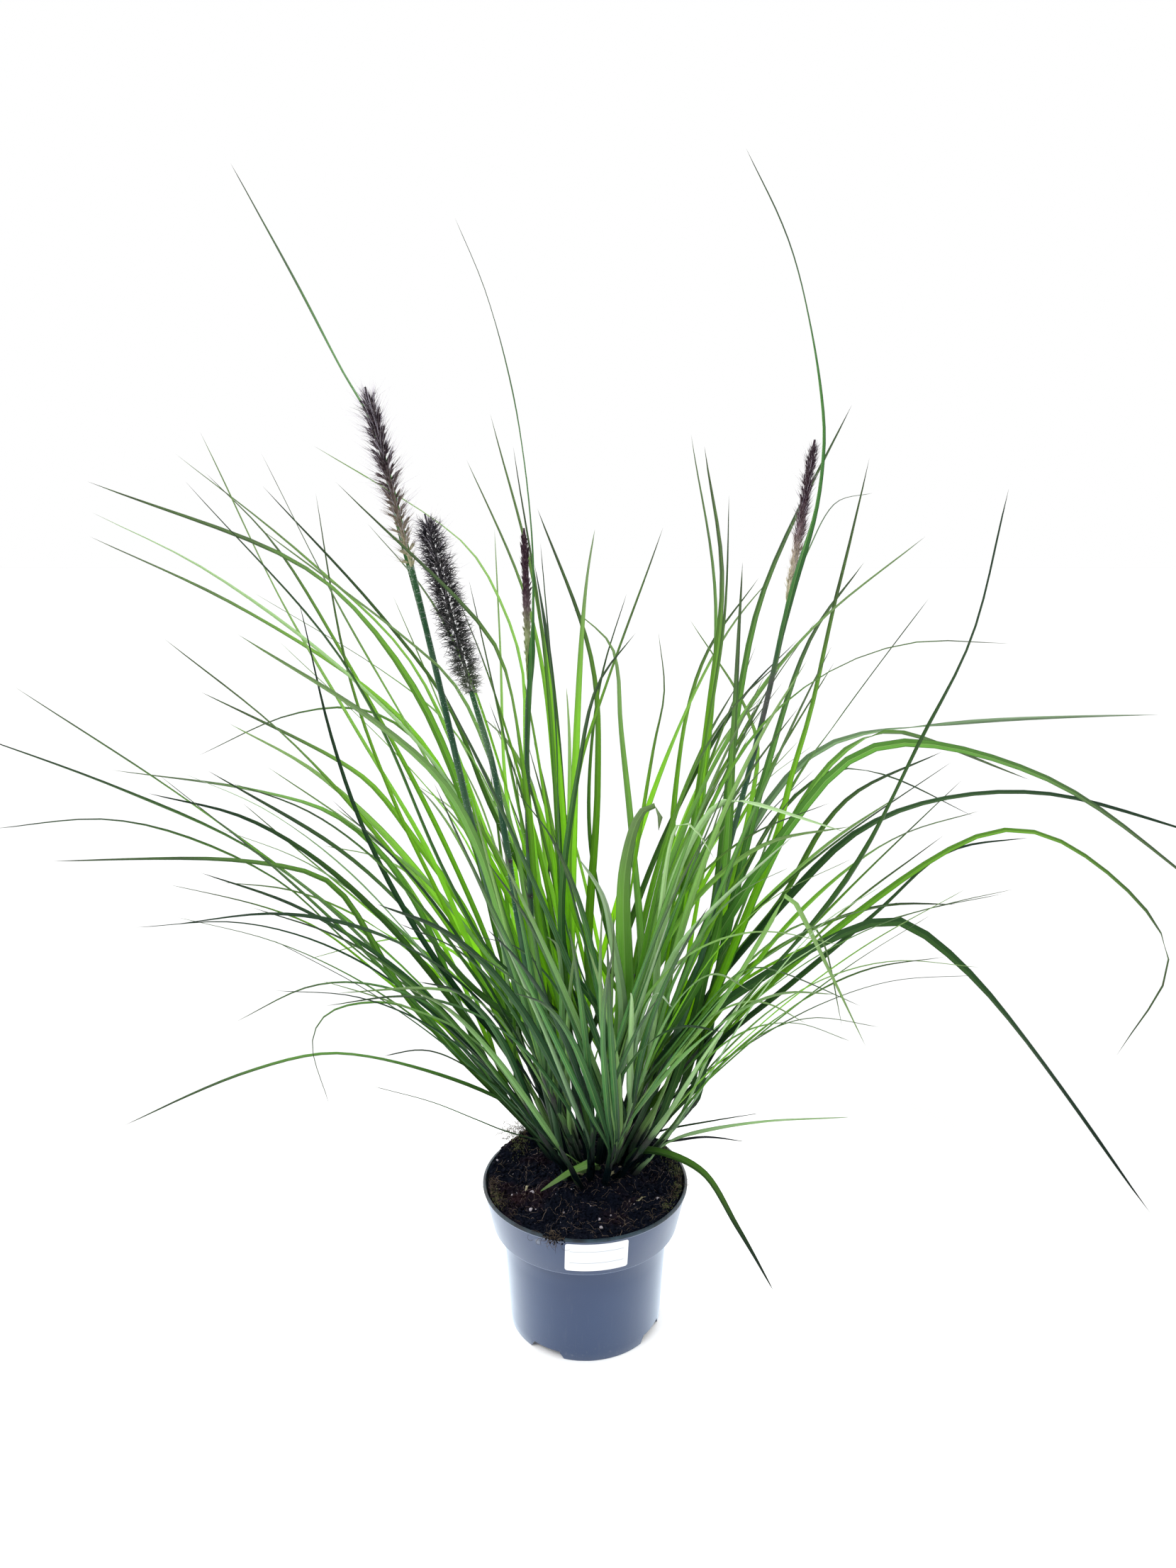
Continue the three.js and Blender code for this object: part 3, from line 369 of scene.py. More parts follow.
CLUMP_MIDDLE = Vector((0.02, 0.02, 0.34))
LAMP_PLACE = Vector((-1.4, -1.2, 2.2))
light = bpy.data.lights.new("key", "AREA")
light.size = 0.9
light.energy = 30
lamp = bpy.data.objects.new("key", light)
lamp.location = LAMP_PLACE
lamp.rotation_euler = (CLUMP_MIDDLE - LAMP_PLACE).to_track_quat("-Z", "Y").to_euler()
lamp.visible_camera = False
scene.collection.objects.link(lamp)

# %% [markdown]
# The floor is a sheet of pale paper. In this light it is twice as bright as white, and would eat away the
# leaves before it just as a brighter sky would. So away from the pot's white surroundings the camera is
# shown a darker tone, which is still white, while the paper throws all its light up at the plant.

# %% Floor
FLOOR_HALF = 8  # metres
FLOOR_TONE = (0.83, 0.83, 0.83, 1)
FLOOR_SEEN = (0.44, 0.44, 0.44, 1)
FLOOR_TURNS = (0.12, 0.5)  # metres from the pot's axis between which the tone changes


def floor_paper():
    finish = Finish("pale floor", Roughness=0.9)
    camera_ray = finish.node("ShaderNodeLightPath", {}, {}, "Is Camera Ray")
    far = finish.away((0, 0, 0)).between(*FLOOR_TURNS) + finish.noise(3) * 0.02
    finish.set(Base_Color=finish.coats(FLOOR_TONE, (far * camera_ray, FLOOR_SEEN)))
    return finish


floor_shape = bmesh.new()
bmesh.ops.create_grid(floor_shape, x_segments=1, y_segments=1, size=FLOOR_HALF)
floor = as_object("floor", floor_shape)
floor.data.materials.append(floor_paper().material)

# %% [markdown]
# ## Pot
#
# A round nursery pot is moulded in one piece: a thin rolled lip, a wide band that steps out from a
# tapering body, and a foot ring with four notches that let water out. Its outline is drawn as a wire on
# one side of the axis, its corners are rounded, and a spin sweeps it round. The notches and drain holes
# are cut after that with Boolean modifiers, because a spin can't make them.

# %% Pot shape
POT_HEIGHT = 128
BAND_FOOT = 91.3  # where the band starts
BAND_RADIUS = (77, 84.2)  # at its foot and under the lip
BAND_TOP = 125
FOOT_RADIUS = (57.4, 63.4)
FLOOR_TOP = 7
INNER_STEP = 92.9
INNER_RADIUS = (75.4, 82.6)  # inside the band, at its foot and at the lip
POT_OUTLINE = [
    (0, 0), (14, 0), (17, 5), (54.4, 5), (FOOT_RADIUS[0], 0), (FOOT_RADIUS[1], 0), (68.8, 90.7),
    (BAND_RADIUS[0], BAND_FOOT), (BAND_RADIUS[1], BAND_TOP), (85, 125.6), (85, 127.4), (84.4, POT_HEIGHT),
    (INNER_RADIUS[1], POT_HEIGHT), (INNER_RADIUS[0], INNER_STEP), (67.2, 92.3), (61.8, FLOOR_TOP),
    (0, FLOOR_TOP),
]
CORNER_RADIUS = 0.55
POT_STEPS = 160
SHADING_RINGS = (8.2, 9.5, 12, 40, 70)  # level cuts that keep the notches from disturbing the shading above
NOTCH = {"azimuths": (-120, -30, 60, 150), "height": 6.5, "foot": 15.9, "top": 11.9, "reach": 16}
DRAIN = {"azimuths": (-75, 15, 105, 195), "radius": 5, "ring": 38}


def pot_body():
    shape = bmesh.new()
    corners = [shape.verts.new(millimetres(r, 0, z)) for r, z in POT_OUTLINE]
    for first, second in zip(corners, corners[1:]):
        shape.edges.new((first, second))
    bmesh.ops.bevel(shape, geom=corners[1:-1], offset=CORNER_RADIUS * MM, segments=3, profile=0.5,
                    affect="VERTICES", material=-1)
    bmesh.ops.spin(shape, geom=shape.verts[:] + shape.edges[:], cent=(0, 0, 0), axis=UP, angle=tau,
                   steps=POT_STEPS, use_merge=True)
    bmesh.ops.remove_doubles(shape, verts=shape.verts, dist=1e-6)
    for level in SHADING_RINGS:
        sliced(shape, millimetres(0, 0, level), UP)
    bmesh.ops.recalc_face_normals(shape, faces=shape.faces)
    return shape


def notch_cutter(azimuth):
    """A block with slanted ends, from outside the foot ring inwards."""
    shape = bmesh.new()
    bmesh.ops.create_cube(shape, size=1)
    for vert in shape.verts:
        above = vert.co.z > 0
        half = NOTCH["top"] if above else NOTCH["foot"] + 1
        out = FOOT_RADIUS[1] + 8 if vert.co.x > 0 else FOOT_RADIUS[1] - NOTCH["reach"]
        vert.co = millimetres(out, half if vert.co.y > 0 else -half, NOTCH["height"] if above else -2)
    turn = Matrix.Rotation(radians(azimuth), 3, "Z")
    bmesh.ops.rotate(shape, verts=shape.verts, cent=(0, 0, 0), matrix=turn)
    return shape


def drain_cutter(azimuth):
    shape = bmesh.new()
    radius = DRAIN["radius"] * MM
    bmesh.ops.create_cone(shape, cap_ends=True, segments=24, radius1=radius, radius2=radius, depth=0.03)
    turn = radians(azimuth)
    middle = millimetres(DRAIN["ring"] * cos(turn), DRAIN["ring"] * sin(turn), 0)
    bmesh.ops.translate(shape, verts=shape.verts, vec=middle)
    return shape


def carved(body, cutters):
    """Cut each cutter out of the body and return what is left as a bmesh."""
    blank = as_object("blank", body)
    tools = [as_object("cutter", cutter) for cutter in cutters]
    for tool in tools:
        cut = blank.modifiers.new("cut", "BOOLEAN")
        cut.operation = "DIFFERENCE"
        cut.solver = "EXACT"
        cut.object = tool
    view = bpy.context.evaluated_depsgraph_get()
    result = bpy.data.meshes.new_from_object(blank.evaluated_get(view))
    shape = bmesh.new()
    shape.from_mesh(result)
    bpy.data.meshes.remove(result)
    for thing in [blank, *tools]:
        bpy.data.objects.remove(thing)
    return shape


# %% [markdown]
# The plastic is slate blue-grey and matt, and the bright floor beside it makes its edges white. A sheen
# does that: it is light scattered off a dull surface where it turns away from the eye. On top comes what
# a used pot shows: faint upright rubs, a pale scuff, and dust low down and above the band's foot.

# %% Pot finish
SLATE = (16, 46, 86)
SLATE_DARK = (11, 38, 76)
DUST = (112, 118, 126)
WORN = (128, 146, 172)
SCUFF = {"azimuth": -116, "z": 119, "across": 4.2, "up": 1.3}
LIP_FROM = 126.2


def band_radius(z):
    """The band's outer radius at a height, all in millimetres."""
    return blend(*BAND_RADIUS, (z - BAND_FOOT) / (BAND_TOP - BAND_FOOT))


def pot_plastic(name, sheen):
    finish = Finish(name, Sheen_Weight=sheen, Sheen_Roughness=0.42, Sheen_Tint=(0.78, 0.89, 1, 1),
                    Specular_IOR_Level=0.4)
    tone = finish.noise(9, 4).between(0.35, 0.7)
    height = finish.height()
    low = height.between(0.02, 0.0)
    ledge = height.between(0.0985, 0.0915) * height.between(0.090, 0.0914)
    specks = finish.noise(420, 2).between(0.60, 0.74)
    rubs = finish.noise(60, 3, (6, 6, 0.5)).between(0.62, 0.78)
    dust = (low * 0.35 + ledge * 0.3) * specks + rubs * 0.07
    edge = height.between(0.0909, 0.0913) * height.between(0.0922, 0.0916)
    turn = radians(SCUFF["azimuth"])
    radius = band_radius(SCUFF["z"])
    away = finish.away(millimetres(radius * cos(turn), radius * sin(turn), SCUFF["z"]))
    scuff = away.between(SCUFF["across"] * MM, SCUFF["up"] * MM) * finish.noise(160, 3).between(0.4, 0.6)
    plastic = finish.coats(SLATE_DARK, (tone, SLATE), (dust, DUST), (edge * 0.55, WORN), (scuff * 0.6, DUST))
    finish.set(Base_Color=plastic)
    finish.set(Roughness=finish.noise(34, 4) * 0.16 + 0.32 + dust * 0.3)
    finish.bump(finish.noise(700, 2) + finish.noise(26, 2) * 3, 0.02)
    return finish


def lip_plastic():
    # Painted shade: the lip and the inside of the pot are a near-black slate, with paler patches laid by a
    # noise.
    finish = two_tones("pot lip in painted shade", 90, (8, 18, 26), (40, 60, 72), (0.4, 0.75), grain=(90, 3, 0.02),
                       Specular_IOR_Level=0.3)
    finish.set(Roughness=finish.noise(90) * 0.2 + 0.35)
    return finish


def finish_index(face):
    """Which finish a face of the pot has: 0 for the body, 1 for the band and 2 for the lip and inside it."""
    middle = face.calc_center_median() / MM
    if middle.z > LIP_FROM or (middle.z > BAND_FOOT and middle.xy.length < band_radius(middle.z) - 1):
        return 2
    return 1 if middle.z > BAND_FOOT - 0.2 else 0


pot_cutters = [notch_cutter(azimuth) for azimuth in NOTCH["azimuths"]]
pot_cutters += [drain_cutter(azimuth) for azimuth in DRAIN["azimuths"]]
pot_shape = carved(pot_body(), pot_cutters)
for face in pot_shape.faces:
    face.material_index = finish_index(face)
pot_finishes = [pot_plastic("matt slate body", 1.0), pot_plastic("matt slate band", 0.5), lip_plastic()]
finished("nursery_pot", pot_shape, pot_finishes, ["pot"], sharp_deg=32)

# %% [markdown]
# ## Label
#
# A white paper sticker lies on the band. It is cut flat, with rounded corners, then sliced into narrow
# strips so that it can bend, wrapped round the band's cone, and given the thickness of paper. Two faint
# rules stand where such a label is ruled off; nothing is written on it.

# %% Label
LABEL = {"width": 50, "height": 28, "corner": 2.2, "azimuth": -83.5, "middle": 110, "thick": 0.25}
LABEL_CUTS = (25, 8)  # strips across and up
LABEL_GAP = 0.06


def label_paper():
    finish = Finish("white label paper", Specular_IOR_Level=0.4)
    height = finish.attribute("label_up")
    inside = finish.attribute("label_across").size().between(0.43, 0.425)
    rule = (height - 0.22).size().between(0.012, 0.006) + (height + 0.2).size().between(0.012, 0.006)
    grain = finish.noise(260, 3)
    paper = finish.coats((206, 209, 213), (grain, (216, 218, 221)), (rule * inside, (150, 157, 168)))
    finish.set(Base_Color=paper, Roughness=grain * 0.15 + 0.36)
    finish.bump(grain, 0.01)
    return finish


def label_sheet():
    shape = with_layers("label_across", "label_up")
    size = Vector((LABEL["width"], LABEL["height"]))
    square = ((-1, -1), (1, -1), (1, 1), (-1, 1))
    corners = [shape.verts.new((x * size.x / 2, y * size.y / 2, 0)) for x, y in square]
    shape.faces.new(corners)
    bmesh.ops.bevel(shape, geom=corners, offset=LABEL["corner"], segments=6, profile=0.5,
                    affect="VERTICES", material=-1)
    for axis, strips in enumerate(LABEL_CUTS):
        for step in range(1, strips):
            place, normal = Vector(), Vector()
            place[axis] = size[axis] * (step / strips - 0.5)
            normal[axis] = 1
            sliced(shape, place, normal)
    across, up = shape.verts.layers.float.values()
    for vert in shape.verts:
        vert[across] = vert.co.x / size.x
        vert[up] = vert.co.y / size.y
        z = LABEL["middle"] + vert.co.y
        radius = band_radius(z) + LABEL_GAP
        turn = radians(LABEL["azimuth"]) + vert.co.x / radius
        vert.co = millimetres(radius * cos(turn), radius * sin(turn), z)
    bmesh.ops.recalc_face_normals(shape, faces=shape.faces)
    if shape.faces[0].normal.y > 0:
        bmesh.ops.reverse_faces(shape, faces=shape.faces)
    bmesh.ops.solidify(shape, geom=shape.faces, thickness=-LABEL["thick"] * MM)
    return shape


finished("label_sticker", label_sheet(), [label_paper()], ["label"], sharp_deg=40)

# %% [markdown]
# ## Soil
#
# Dark peat fills the pot to just under the lip and rises where the stems crowd. Its surface is a square
# grid drawn out to a disc, which keeps its squares even, and raised by the mound's formula with clods of
# four sizes of noise on top. The edge is then pulled down inside the pot and closed.

# %% Soil shape
MOUND = {"x": 5, "y": 12, "radius": 73, "top": 129, "edge": 118.5}
SOIL_GRID = 170
CROWN_MIDDLE = Vector((8 * MM, 20 * MM))
WALL = 81  # about the pot's inner radius at the soil


def soil_height(x, y):
    """Height of the even ground at a place, in millimetres: the same mound as the frame's soil."""
    away = min(1, hypot(x - MOUND["x"], y - MOUND["y"]) ** 2 / MOUND["radius"] ** 2)
    mound = MOUND["top"] + (MOUND["edge"] - MOUND["top"]) * away
    return mound + 1.6 * sin(0.19 * x + 1) * cos(0.17 * y) + 0.8 * sin(0.41 * x) * cos(0.33 * y)


def clods(x, y):
    """How far peat stands above or below the even ground, in millimetres."""
    here = Vector((x, y, 0))
    large = noise.noise(here / 13)
    middle = abs(noise.noise(here / 5.2 + Vector((9, 4, 2))))
    small = noise.noise(here / 2.1 + Vector((3, 7, 5)))
    fine = noise.noise(here / 1.1)
    return 1.3 * large - 2.6 * middle + 0.9 * small + 0.45 * fine + 0.7


def inner_radius(z):
    """The pot's inner radius in the band at a height, in millimetres."""
    return blend(*INNER_RADIUS, (z - INNER_STEP) / (POT_HEIGHT - INNER_STEP))


def bank(x, y):
    """How far the peat is heaped against the back wall, highest at the left, in millimetres."""
    turn = atan2(y, x)
    left = exp(-((turn - radians(128)) / 0.42) ** 2)
    right = exp(-((turn - radians(48)) / 0.45) ** 2)
    behind = smooth(sin(turn), -0.55, 0.05)
    away = hypot(x, y)
    wall = smooth(away, 58, 80)
    return (5.5 * left + 2.5 * right + 4.2 * behind) * wall + 5 * smooth(away, 40, 80)


def ground(x, y):
    return soil_height(x, y) + 1.5 * clods(x, y) + bank(x, y)


def soil_body():
    shape = bmesh.new()
    bmesh.ops.create_grid(shape, x_segments=SOIL_GRID, y_segments=SOIL_GRID, size=1)
    for vert in shape.verts:
        x, y = vert.co.x, vert.co.y
        out_x = x * sqrt(1 - y * y / 2)
        out_y = y * sqrt(1 - x * x / 2)
        radius = inner_radius(soil_height(out_x * WALL, out_y * WALL)) - 0.12
        place_x, place_y = out_x * radius, out_y * radius
        vert.co = millimetres(place_x, place_y, ground(place_x, place_y))
    for level, radius in ((INNER_STEP + 0.3, 75.2), (INNER_STEP - 0.8, 67.0), (FLOOR_TOP + 0.2, 61.6)):
        rim = [edge for edge in shape.edges if edge.is_boundary]
        lower = bmesh.ops.extrude_edge_only(shape, edges=rim)["geom"]
        for vert in (v for v in lower if isinstance(v, bmesh.types.BMVert)):
            flat = vert.co.xy.normalized() * radius * MM
            vert.co = (*flat, level * MM)
    bmesh.ops.edgeloop_fill(shape, edges=[edge for edge in shape.edges if edge.is_boundary])
    bmesh.ops.recalc_face_normals(shape, faces=shape.faces)
    return shape


# %% [markdown]
# Wet peat is nearly black, with reddish brown fibre showing through in patches, lighter grains and a slight
# shine on the wettest clods. One noise places the patches and a finer one the grains. Others set the shine
# and the relief.

# %% Soil finish
def peat():
    finish = Finish("dark peat", Specular_IOR_Level=0.03)
    patches = finish.noise(24, 5).between(0.52, 0.72)
    grains = finish.noise(700, 4)
    dark = finish.coats((2, 5, 13), (grains.between(0.35, 0.7), (17, 20, 32)))
    brown = finish.coats((18, 8, 12), (grains.between(0.3, 0.65), (48, 28, 30)))
    earth = finish.coats(dark, (patches * 0.8, brown), (grains.between(0.69, 0.77) * 0.5, (88, 78, 76)))
    finish.set(Base_Color=earth, Roughness=finish.noise(60, 3) * 0.4 + 0.55)
    finish.bump(grains + finish.noise(1500, 2) * 0.5, 0.6)
    return finish


PEAT = peat()
finished("peat_surface", soil_body(), [PEAT], ["soil"])

# %% [markdown]
# ## What lies on the soil
#
# Loose crumbs make peat look like peat. Each is a 20-sided ball pushed out of round. They are strewn by
# a seeded draw over the soil, over the lip at one place, and along the wall behind. So are the white beads
# of perlite, except for those that show clearly, whose places are given. Between the stems and over the
# edge lie fine roots, moss and scraps of old leaf.

# %% Crumbs and perlite
STREWN = random.Random(7)
STREWN_OUT = 79.5  # as far out as the soil lies open
CRUMBS = {"soil": 3600, "lip": 260, "wall": 520}
BEADS = 90


def crumb(shape, place, size, rough, squash=0.75, subdivisions=1):
    """A lump of about this size, in millimetres, with its corners moved in and out."""
    made = bmesh.ops.create_icosphere(shape, subdivisions=subdivisions, radius=1)["verts"]
    turn = Quaternion([STREWN.gauss(0, 1) for _ in range(4)]).normalized()
    stretch = Vector((STREWN.uniform(0.7, 1.2), STREWN.uniform(0.7, 1.2), STREWN.uniform(0.55, 0.9)))
    for vert in made:
        corner = turn @ (vert.co * STREWN.uniform(1 - rough, 1 + rough) * size * stretch)
        corner.z *= squash
        vert.co = (Vector(place) + corner) * MM


def on_soil(x, y, above=0.0):
    return (x, y, ground(x, y) + above)


def strewn_place():
    """A place on the soil, drawn evenly over the disc."""
    away = STREWN_OUT * sqrt(STREWN.uniform(0, 1))
    turn = STREWN.uniform(0, tau)
    return away * cos(turn), away * sin(turn)


def peat_crumbs():
    plans = []
    for _ in range(CRUMBS["soil"]):
        x, y = strewn_place()
        size = 0.4 + 2.0 * STREWN.random() ** 3
        plans.append((on_soil(x, y, size * 0.25), size, 0.32))
    for _ in range(CRUMBS["lip"]):
        turn = radians(STREWN.gauss(-107, 2.6))
        radius = STREWN.uniform(78, 86.6)
        height = 128.2 if radius < 85.4 else 127.5 - 5 * STREWN.random() ** 2
        place = (radius * cos(turn), radius * sin(turn), height + 1.2 * STREWN.random())
        plans.append((place, STREWN.uniform(0.4, 1.1), 0.32))
    for _ in range(CRUMBS["wall"]):
        turn = radians(STREWN.gauss(128, 13))
        radius = 84.5 - 12 * STREWN.random() ** 1.5
        lift = 7 * exp(-((turn - radians(126)) / 0.22) ** 2) * STREWN.random() * smooth(radius, 84, 80.5)
        place = (radius * cos(turn), radius * sin(turn), POT_HEIGHT + lift)
        plans.append((place, STREWN.uniform(0.6, 2.0), 0.35))
    return gathered(crumb, plans)


finished("peat_crumbs", peat_crumbs(), [PEAT])

PERLITE_SEEN = [
    (-43.6, -39.1, 1.9), (-43.3, -19.1, 1.6), (-59.6, -19.1, 1.3), (-74.8, 22.5, 1.1), (11.5, -51.1, 1.5),
    (20.6, -45.6, 1.1), (12.5, -62.9, 1.7), (59.0, -27.8, 1.4), (-17.4, -38.2, 1.2),
]  # place and size


def perlite_beads():
    plans = [(on_soil(x, y, size * 0.5), size, 0.2, 0.9, 2) for x, y, size in PERLITE_SEEN]
    for _ in range(BEADS):
        x, y = strewn_place()
        size = 0.25 + 0.6 * STREWN.random() ** 2
        plans.append((on_soil(x, y, size * 0.4), size, 0.2, 0.9))
    return gathered(crumb, plans)


PERLITE = two_tones("white perlite", 1900, (104, 98, 106), (176, 170, 176), grain=(1900, 3, 0.2),
                    Roughness=0.85)
finished("perlite", perlite_beads(), [PERLITE])

# %% [markdown]
# Roots and moss are closed threads. A root wanders over the soil; the moss grows in beds along the wall,
# each with a middle, a radius and a number of shoots.

# %% Roots and moss
ROOTS = 230
ROOT_STEP = 2.0


def thread(shape, points, thick, thin, sides=3):
    """A closed thread through points, thick at its start and thin at its end, all in metres."""
    last = len(points) - 1
    rows = []
    side = (points[1] - points[0]).orthogonal().normalized()
    for i, point in enumerate(points):
        tangent = (points[min(i + 1, last)] - points[max(i - 1, 0)]).normalized()
        side = (side - tangent * side.dot(tangent)).normalized()
        radius = 0 if i in (0, last) else blend(thick, thin, i / last)
        rows.append(circle_row(point, side, tangent.cross(side), radius, sides))
    return wrapped(shape, rows)


def circle_row(centre, side, up, radius, count):
    """One closed row of corners round a point; its last corner is its first one again."""
    turns = [tau * (k % count) / count for k in range(count + 1)]
    return [centre + side * (radius * cos(turn)) + up * (radius * sin(turn)) for turn in turns]


def wandering(x, y, steps, stray, above):
    """Points that wander over the soil from a place."""
    turn = STREWN.uniform(0, tau)
    points = []
    for _ in range(steps):
        turn += STREWN.gauss(0, stray)
        x += ROOT_STEP * cos(turn)
        y += ROOT_STEP * sin(turn)
        if hypot(x, y) > 79:
            break
        points.append(millimetres(*on_soil(x, y, STREWN.uniform(0.1, above))))
    return points


def root_threads():
    courses = [wandering(*strewn_place(), STREWN.randint(7, 16), 0.45, 1.2) for _ in range(ROOTS)]
    return gathered(thread, [(points, STREWN.uniform(0.1, 0.24) * MM, 0.05 * MM) for points in courses
                             if len(points) > 4])


ROOT = two_tones("pale root", 160, (58, 42, 36), (128, 112, 98), grain=(2400, 2, 0.05), Roughness=0.7)
finished("fine_roots", root_threads(), [ROOT])

MOSS_BEDS = [
    (71, 38, 9, 260), (77, 8, 7, 220), (77, -17, 6, 140), (-72, -30, 7, 130), (-56, 52, 8, 150),
    (-38, 70, 9, 240), (-60, 40, 5, 60), (50, 62, 8, 160), (66, -38, 5, 60),
]


def moss_shoots():
    plans = []
    for middle_x, middle_y, radius, count in MOSS_BEDS:
        for _ in range(count):
            x = STREWN.gauss(middle_x, radius / 2)
            y = STREWN.gauss(middle_y, radius)
            if hypot(x, y) > WALL:
                continue
            foot = Vector(on_soil(x, y, -0.3)) * MM
            lean = Vector((STREWN.gauss(0, 0.7), STREWN.gauss(0, 0.7), 1)).normalized()
            tip = foot + lean * (STREWN.uniform(1.0, 3.4) * MM)
            plans.append(([foot, foot.lerp(tip, 0.4), foot.lerp(tip, 0.8), tip], 0.42 * MM, 0.25 * MM))
    return gathered(thread, plans)


MOSS = two_tones("moss", 330, (30, 38, 18), (96, 104, 52), (0.35, 0.7), grain=(1500, 2, 0.1), Roughness=0.8)
finished("moss", moss_shoots(), [MOSS])

# %% [markdown]
# At the left of the label a tuft of root fibre hangs over the lip, and another is matted against the back
# wall. They are threads again, but dark ones, that start close together and curl. Scraps of dead leaf lie
# round the crown: flat strips, each laid along its own two ends.

# %% Fibre tufts and scraps
OVER_LIP = (-25, -82, 128.6)
BEHIND = (-52, 62, 133)
CURL_STEP = 1.7
FIBRES = {"over the lip": 70, "behind": 260, "beside": 300}


def curl(middle, spread, steps, lift):
    """Points that curl about a place, first over it and then down."""
    at = Vector([STREWN.gauss(centre, width) for centre, width in zip(middle, spread)])
    heading = Vector((STREWN.gauss(0, 1), STREWN.gauss(-0.4, 1), STREWN.gauss(lift, 0.5))).normalized()
    turning = Vector((STREWN.gauss(0, 1), STREWN.gauss(0, 1), STREWN.gauss(0, 1))) * 0.42
    points = []
    for _ in range(steps):
        points.append(at * MM)
        at = at + heading * CURL_STEP
        heading = (heading + heading.cross(turning) + Vector((0, 0, -0.06))).normalized()
    return points


def fibre_tufts():
    plans = []
    for _ in range(FIBRES["over the lip"]):
        plans.append((curl(OVER_LIP, (4.5, 2.5, 0.8), STREWN.randint(5, 9), 0.2), 0.22 * MM, 0.08 * MM))
    for _ in range(FIBRES["behind"]):
        plans.append((curl(BEHIND, (10, 7, 2), STREWN.randint(5, 10), 0.3), 0.24 * MM, 0.08 * MM))
    for _ in range(FIBRES["beside"]):
        turn = radians(STREWN.choice((STREWN.gauss(195, 14), STREWN.gauss(-14, 22))))
        middle = (78 * cos(turn), 78 * sin(turn), 127.5)
        plans.append((curl(middle, (3, 3, 1), STREWN.randint(4, 8), 0.5), 0.2 * MM, 0.08 * MM))

    def clear_of_pot(points):
        return all(not 81 < point.xy.length / MM < 85.8 or point.z > 128.4 * MM for point in points)

    return gathered(thread, [plan for plan in plans if clear_of_pot(plan[0])])


FIBRE = two_tones("matted fibre", 120, (24, 18, 18), (92, 80, 64), (0.35, 0.65), grain=(1700, 2, 0.05),
                  Roughness=0.8, Specular_IOR_Level=0.1)
finished("fibre_tufts", fibre_tufts(), [FIBRE])

SCRAPS = [
    {"from": (-18, 3), "to": (-1, -2), "width": 1.5, "above": 1.2},
    {"from": (17.5, 2), "to": (31, 11), "width": 1.9, "above": 1.4},
    {"from": (-46, -8), "to": (-50, -16), "width": 1.0, "above": 1.0},
    {"from": (40, -30), "to": (50, -24), "width": 0.9, "above": 0.9},
]


def scrap(shape, plan):
    """A dead strip of leaf that lies across the crumbs and curls at its edges."""
    start, end = (Vector((*plan[key], 0)) for key in ("from", "to"))
    side = (end - start).normalized().cross(UP)
    rows = []
    for i in range(13):
        share = i / 12
        flat = start.lerp(end, share) + side * 0.7 * sin(share * 5)
        middle = Vector((flat.x, flat.y, blend(ground(*start.xy), ground(*end.xy), share) + plan["above"]))
        middle.z += 0.6 * sin(share * 9 + start.x)
        half = plan["width"] * (0 if i in (0, 12) else 0.7 + 0.3 * sin(share * 3.1))
        edge = side * half
        keel = UP * (-0.25 * half)
        thick = UP * (0.12 if half else 0)
        row = [middle - edge + thick * 0.5, middle + keel + thick, middle + edge + thick * 0.5,
               middle + edge - thick * 0.5, middle + keel - thick, middle - edge - thick * 0.5]
        rows.append([corner * MM for corner in (*row, row[0])])
    wrapped(shape, rows)


STRAW = two_tones("dead leaf", 300, (66, 62, 44), (140, 134, 104), (0.35, 0.65), grain=(300, 3, 0.1),
                  Roughness=0.7)
finished("leaf_scraps", gathered(scrap, [(plan,) for plan in SCRAPS]), [STRAW])

# %% [markdown]
# ## Paths
#
# Stems, leaves and spikes all follow curves through a few points. The curve is the centripetal kind that
# the frame's solids were made with, so a piece built here runs where they run. Distances are measured
# along it, because a leaf widens and narrows by its length and not by its points.

# %% Paths
def spline_stretch(a, b, c, d, samples):
    """Points from b to c on the centripetal curve through a, b, c and d."""
    before, across, after = (sqrt((q - p).length) for p, q in ((a, b), (b, c), (c, d)))
    leaving = ((b - a) / before - (c - a) / (before + across) + (c - b) / across) * across
    arriving = ((c - b) / across - (d - b) / (across + after) + (d - c) / after) * across
    for k in range(samples):
        t = k / samples
        yield (b * (2 * t ** 3 - 3 * t ** 2 + 1) + leaving * (t ** 3 - 2 * t ** 2 + t)
               + c * (3 * t ** 2 - 2 * t ** 3) + arriving * (t ** 3 - t ** 2))


class Path:
    """A smooth curve that is measured along its length."""

    def __init__(self, points, samples=16):
        ends = [points[0] * 2 - points[1], *points, points[-1] * 2 - points[-2]]
        self.points = []
        for i in range(len(points) - 1):
            self.points.extend(spline_stretch(*ends[i:i + 4], samples))
        self.points.append(points[-1])
        self.reached = [0.0]
        for p, q in zip(self.points, self.points[1:]):
            self.reached.append(self.reached[-1] + (q - p).length)
        self.length = self.reached[-1]
        self.knots = self.reached[::samples]

    def at(self, distance):
        i = min(max(bisect_right(self.reached, distance) - 1, 0), len(self.points) - 2)
        share = (distance - self.reached[i]) / (self.reached[i + 1] - self.reached[i])
        return self.points[i].lerp(self.points[i + 1], share)

    def direction(self, distance):
        step = 2 * MM
        low, high = max(distance - step, 0), min(distance + step, self.length)
        return (self.at(high) - self.at(low)).normalized()

# %% [markdown]
# ## Reading the blades from the frame
#
# Each blade of a stem in the frame is a slim three-sided body with its keel below, so it can be found
# again from its tip: a corner with just three neighbours, which are joined to each other, is a tip, and
# those three are the first ring. From ring to ring the blade is followed down to where it meets its stem.

# %% Read the blades
CAD_MERGE = 2e-6
SHORTEST_STRETCH = 8 * MM
WIDEST_HALF = 7 * MM  # a wider ring is no blade
LONGEST_STEM = 180 * MM


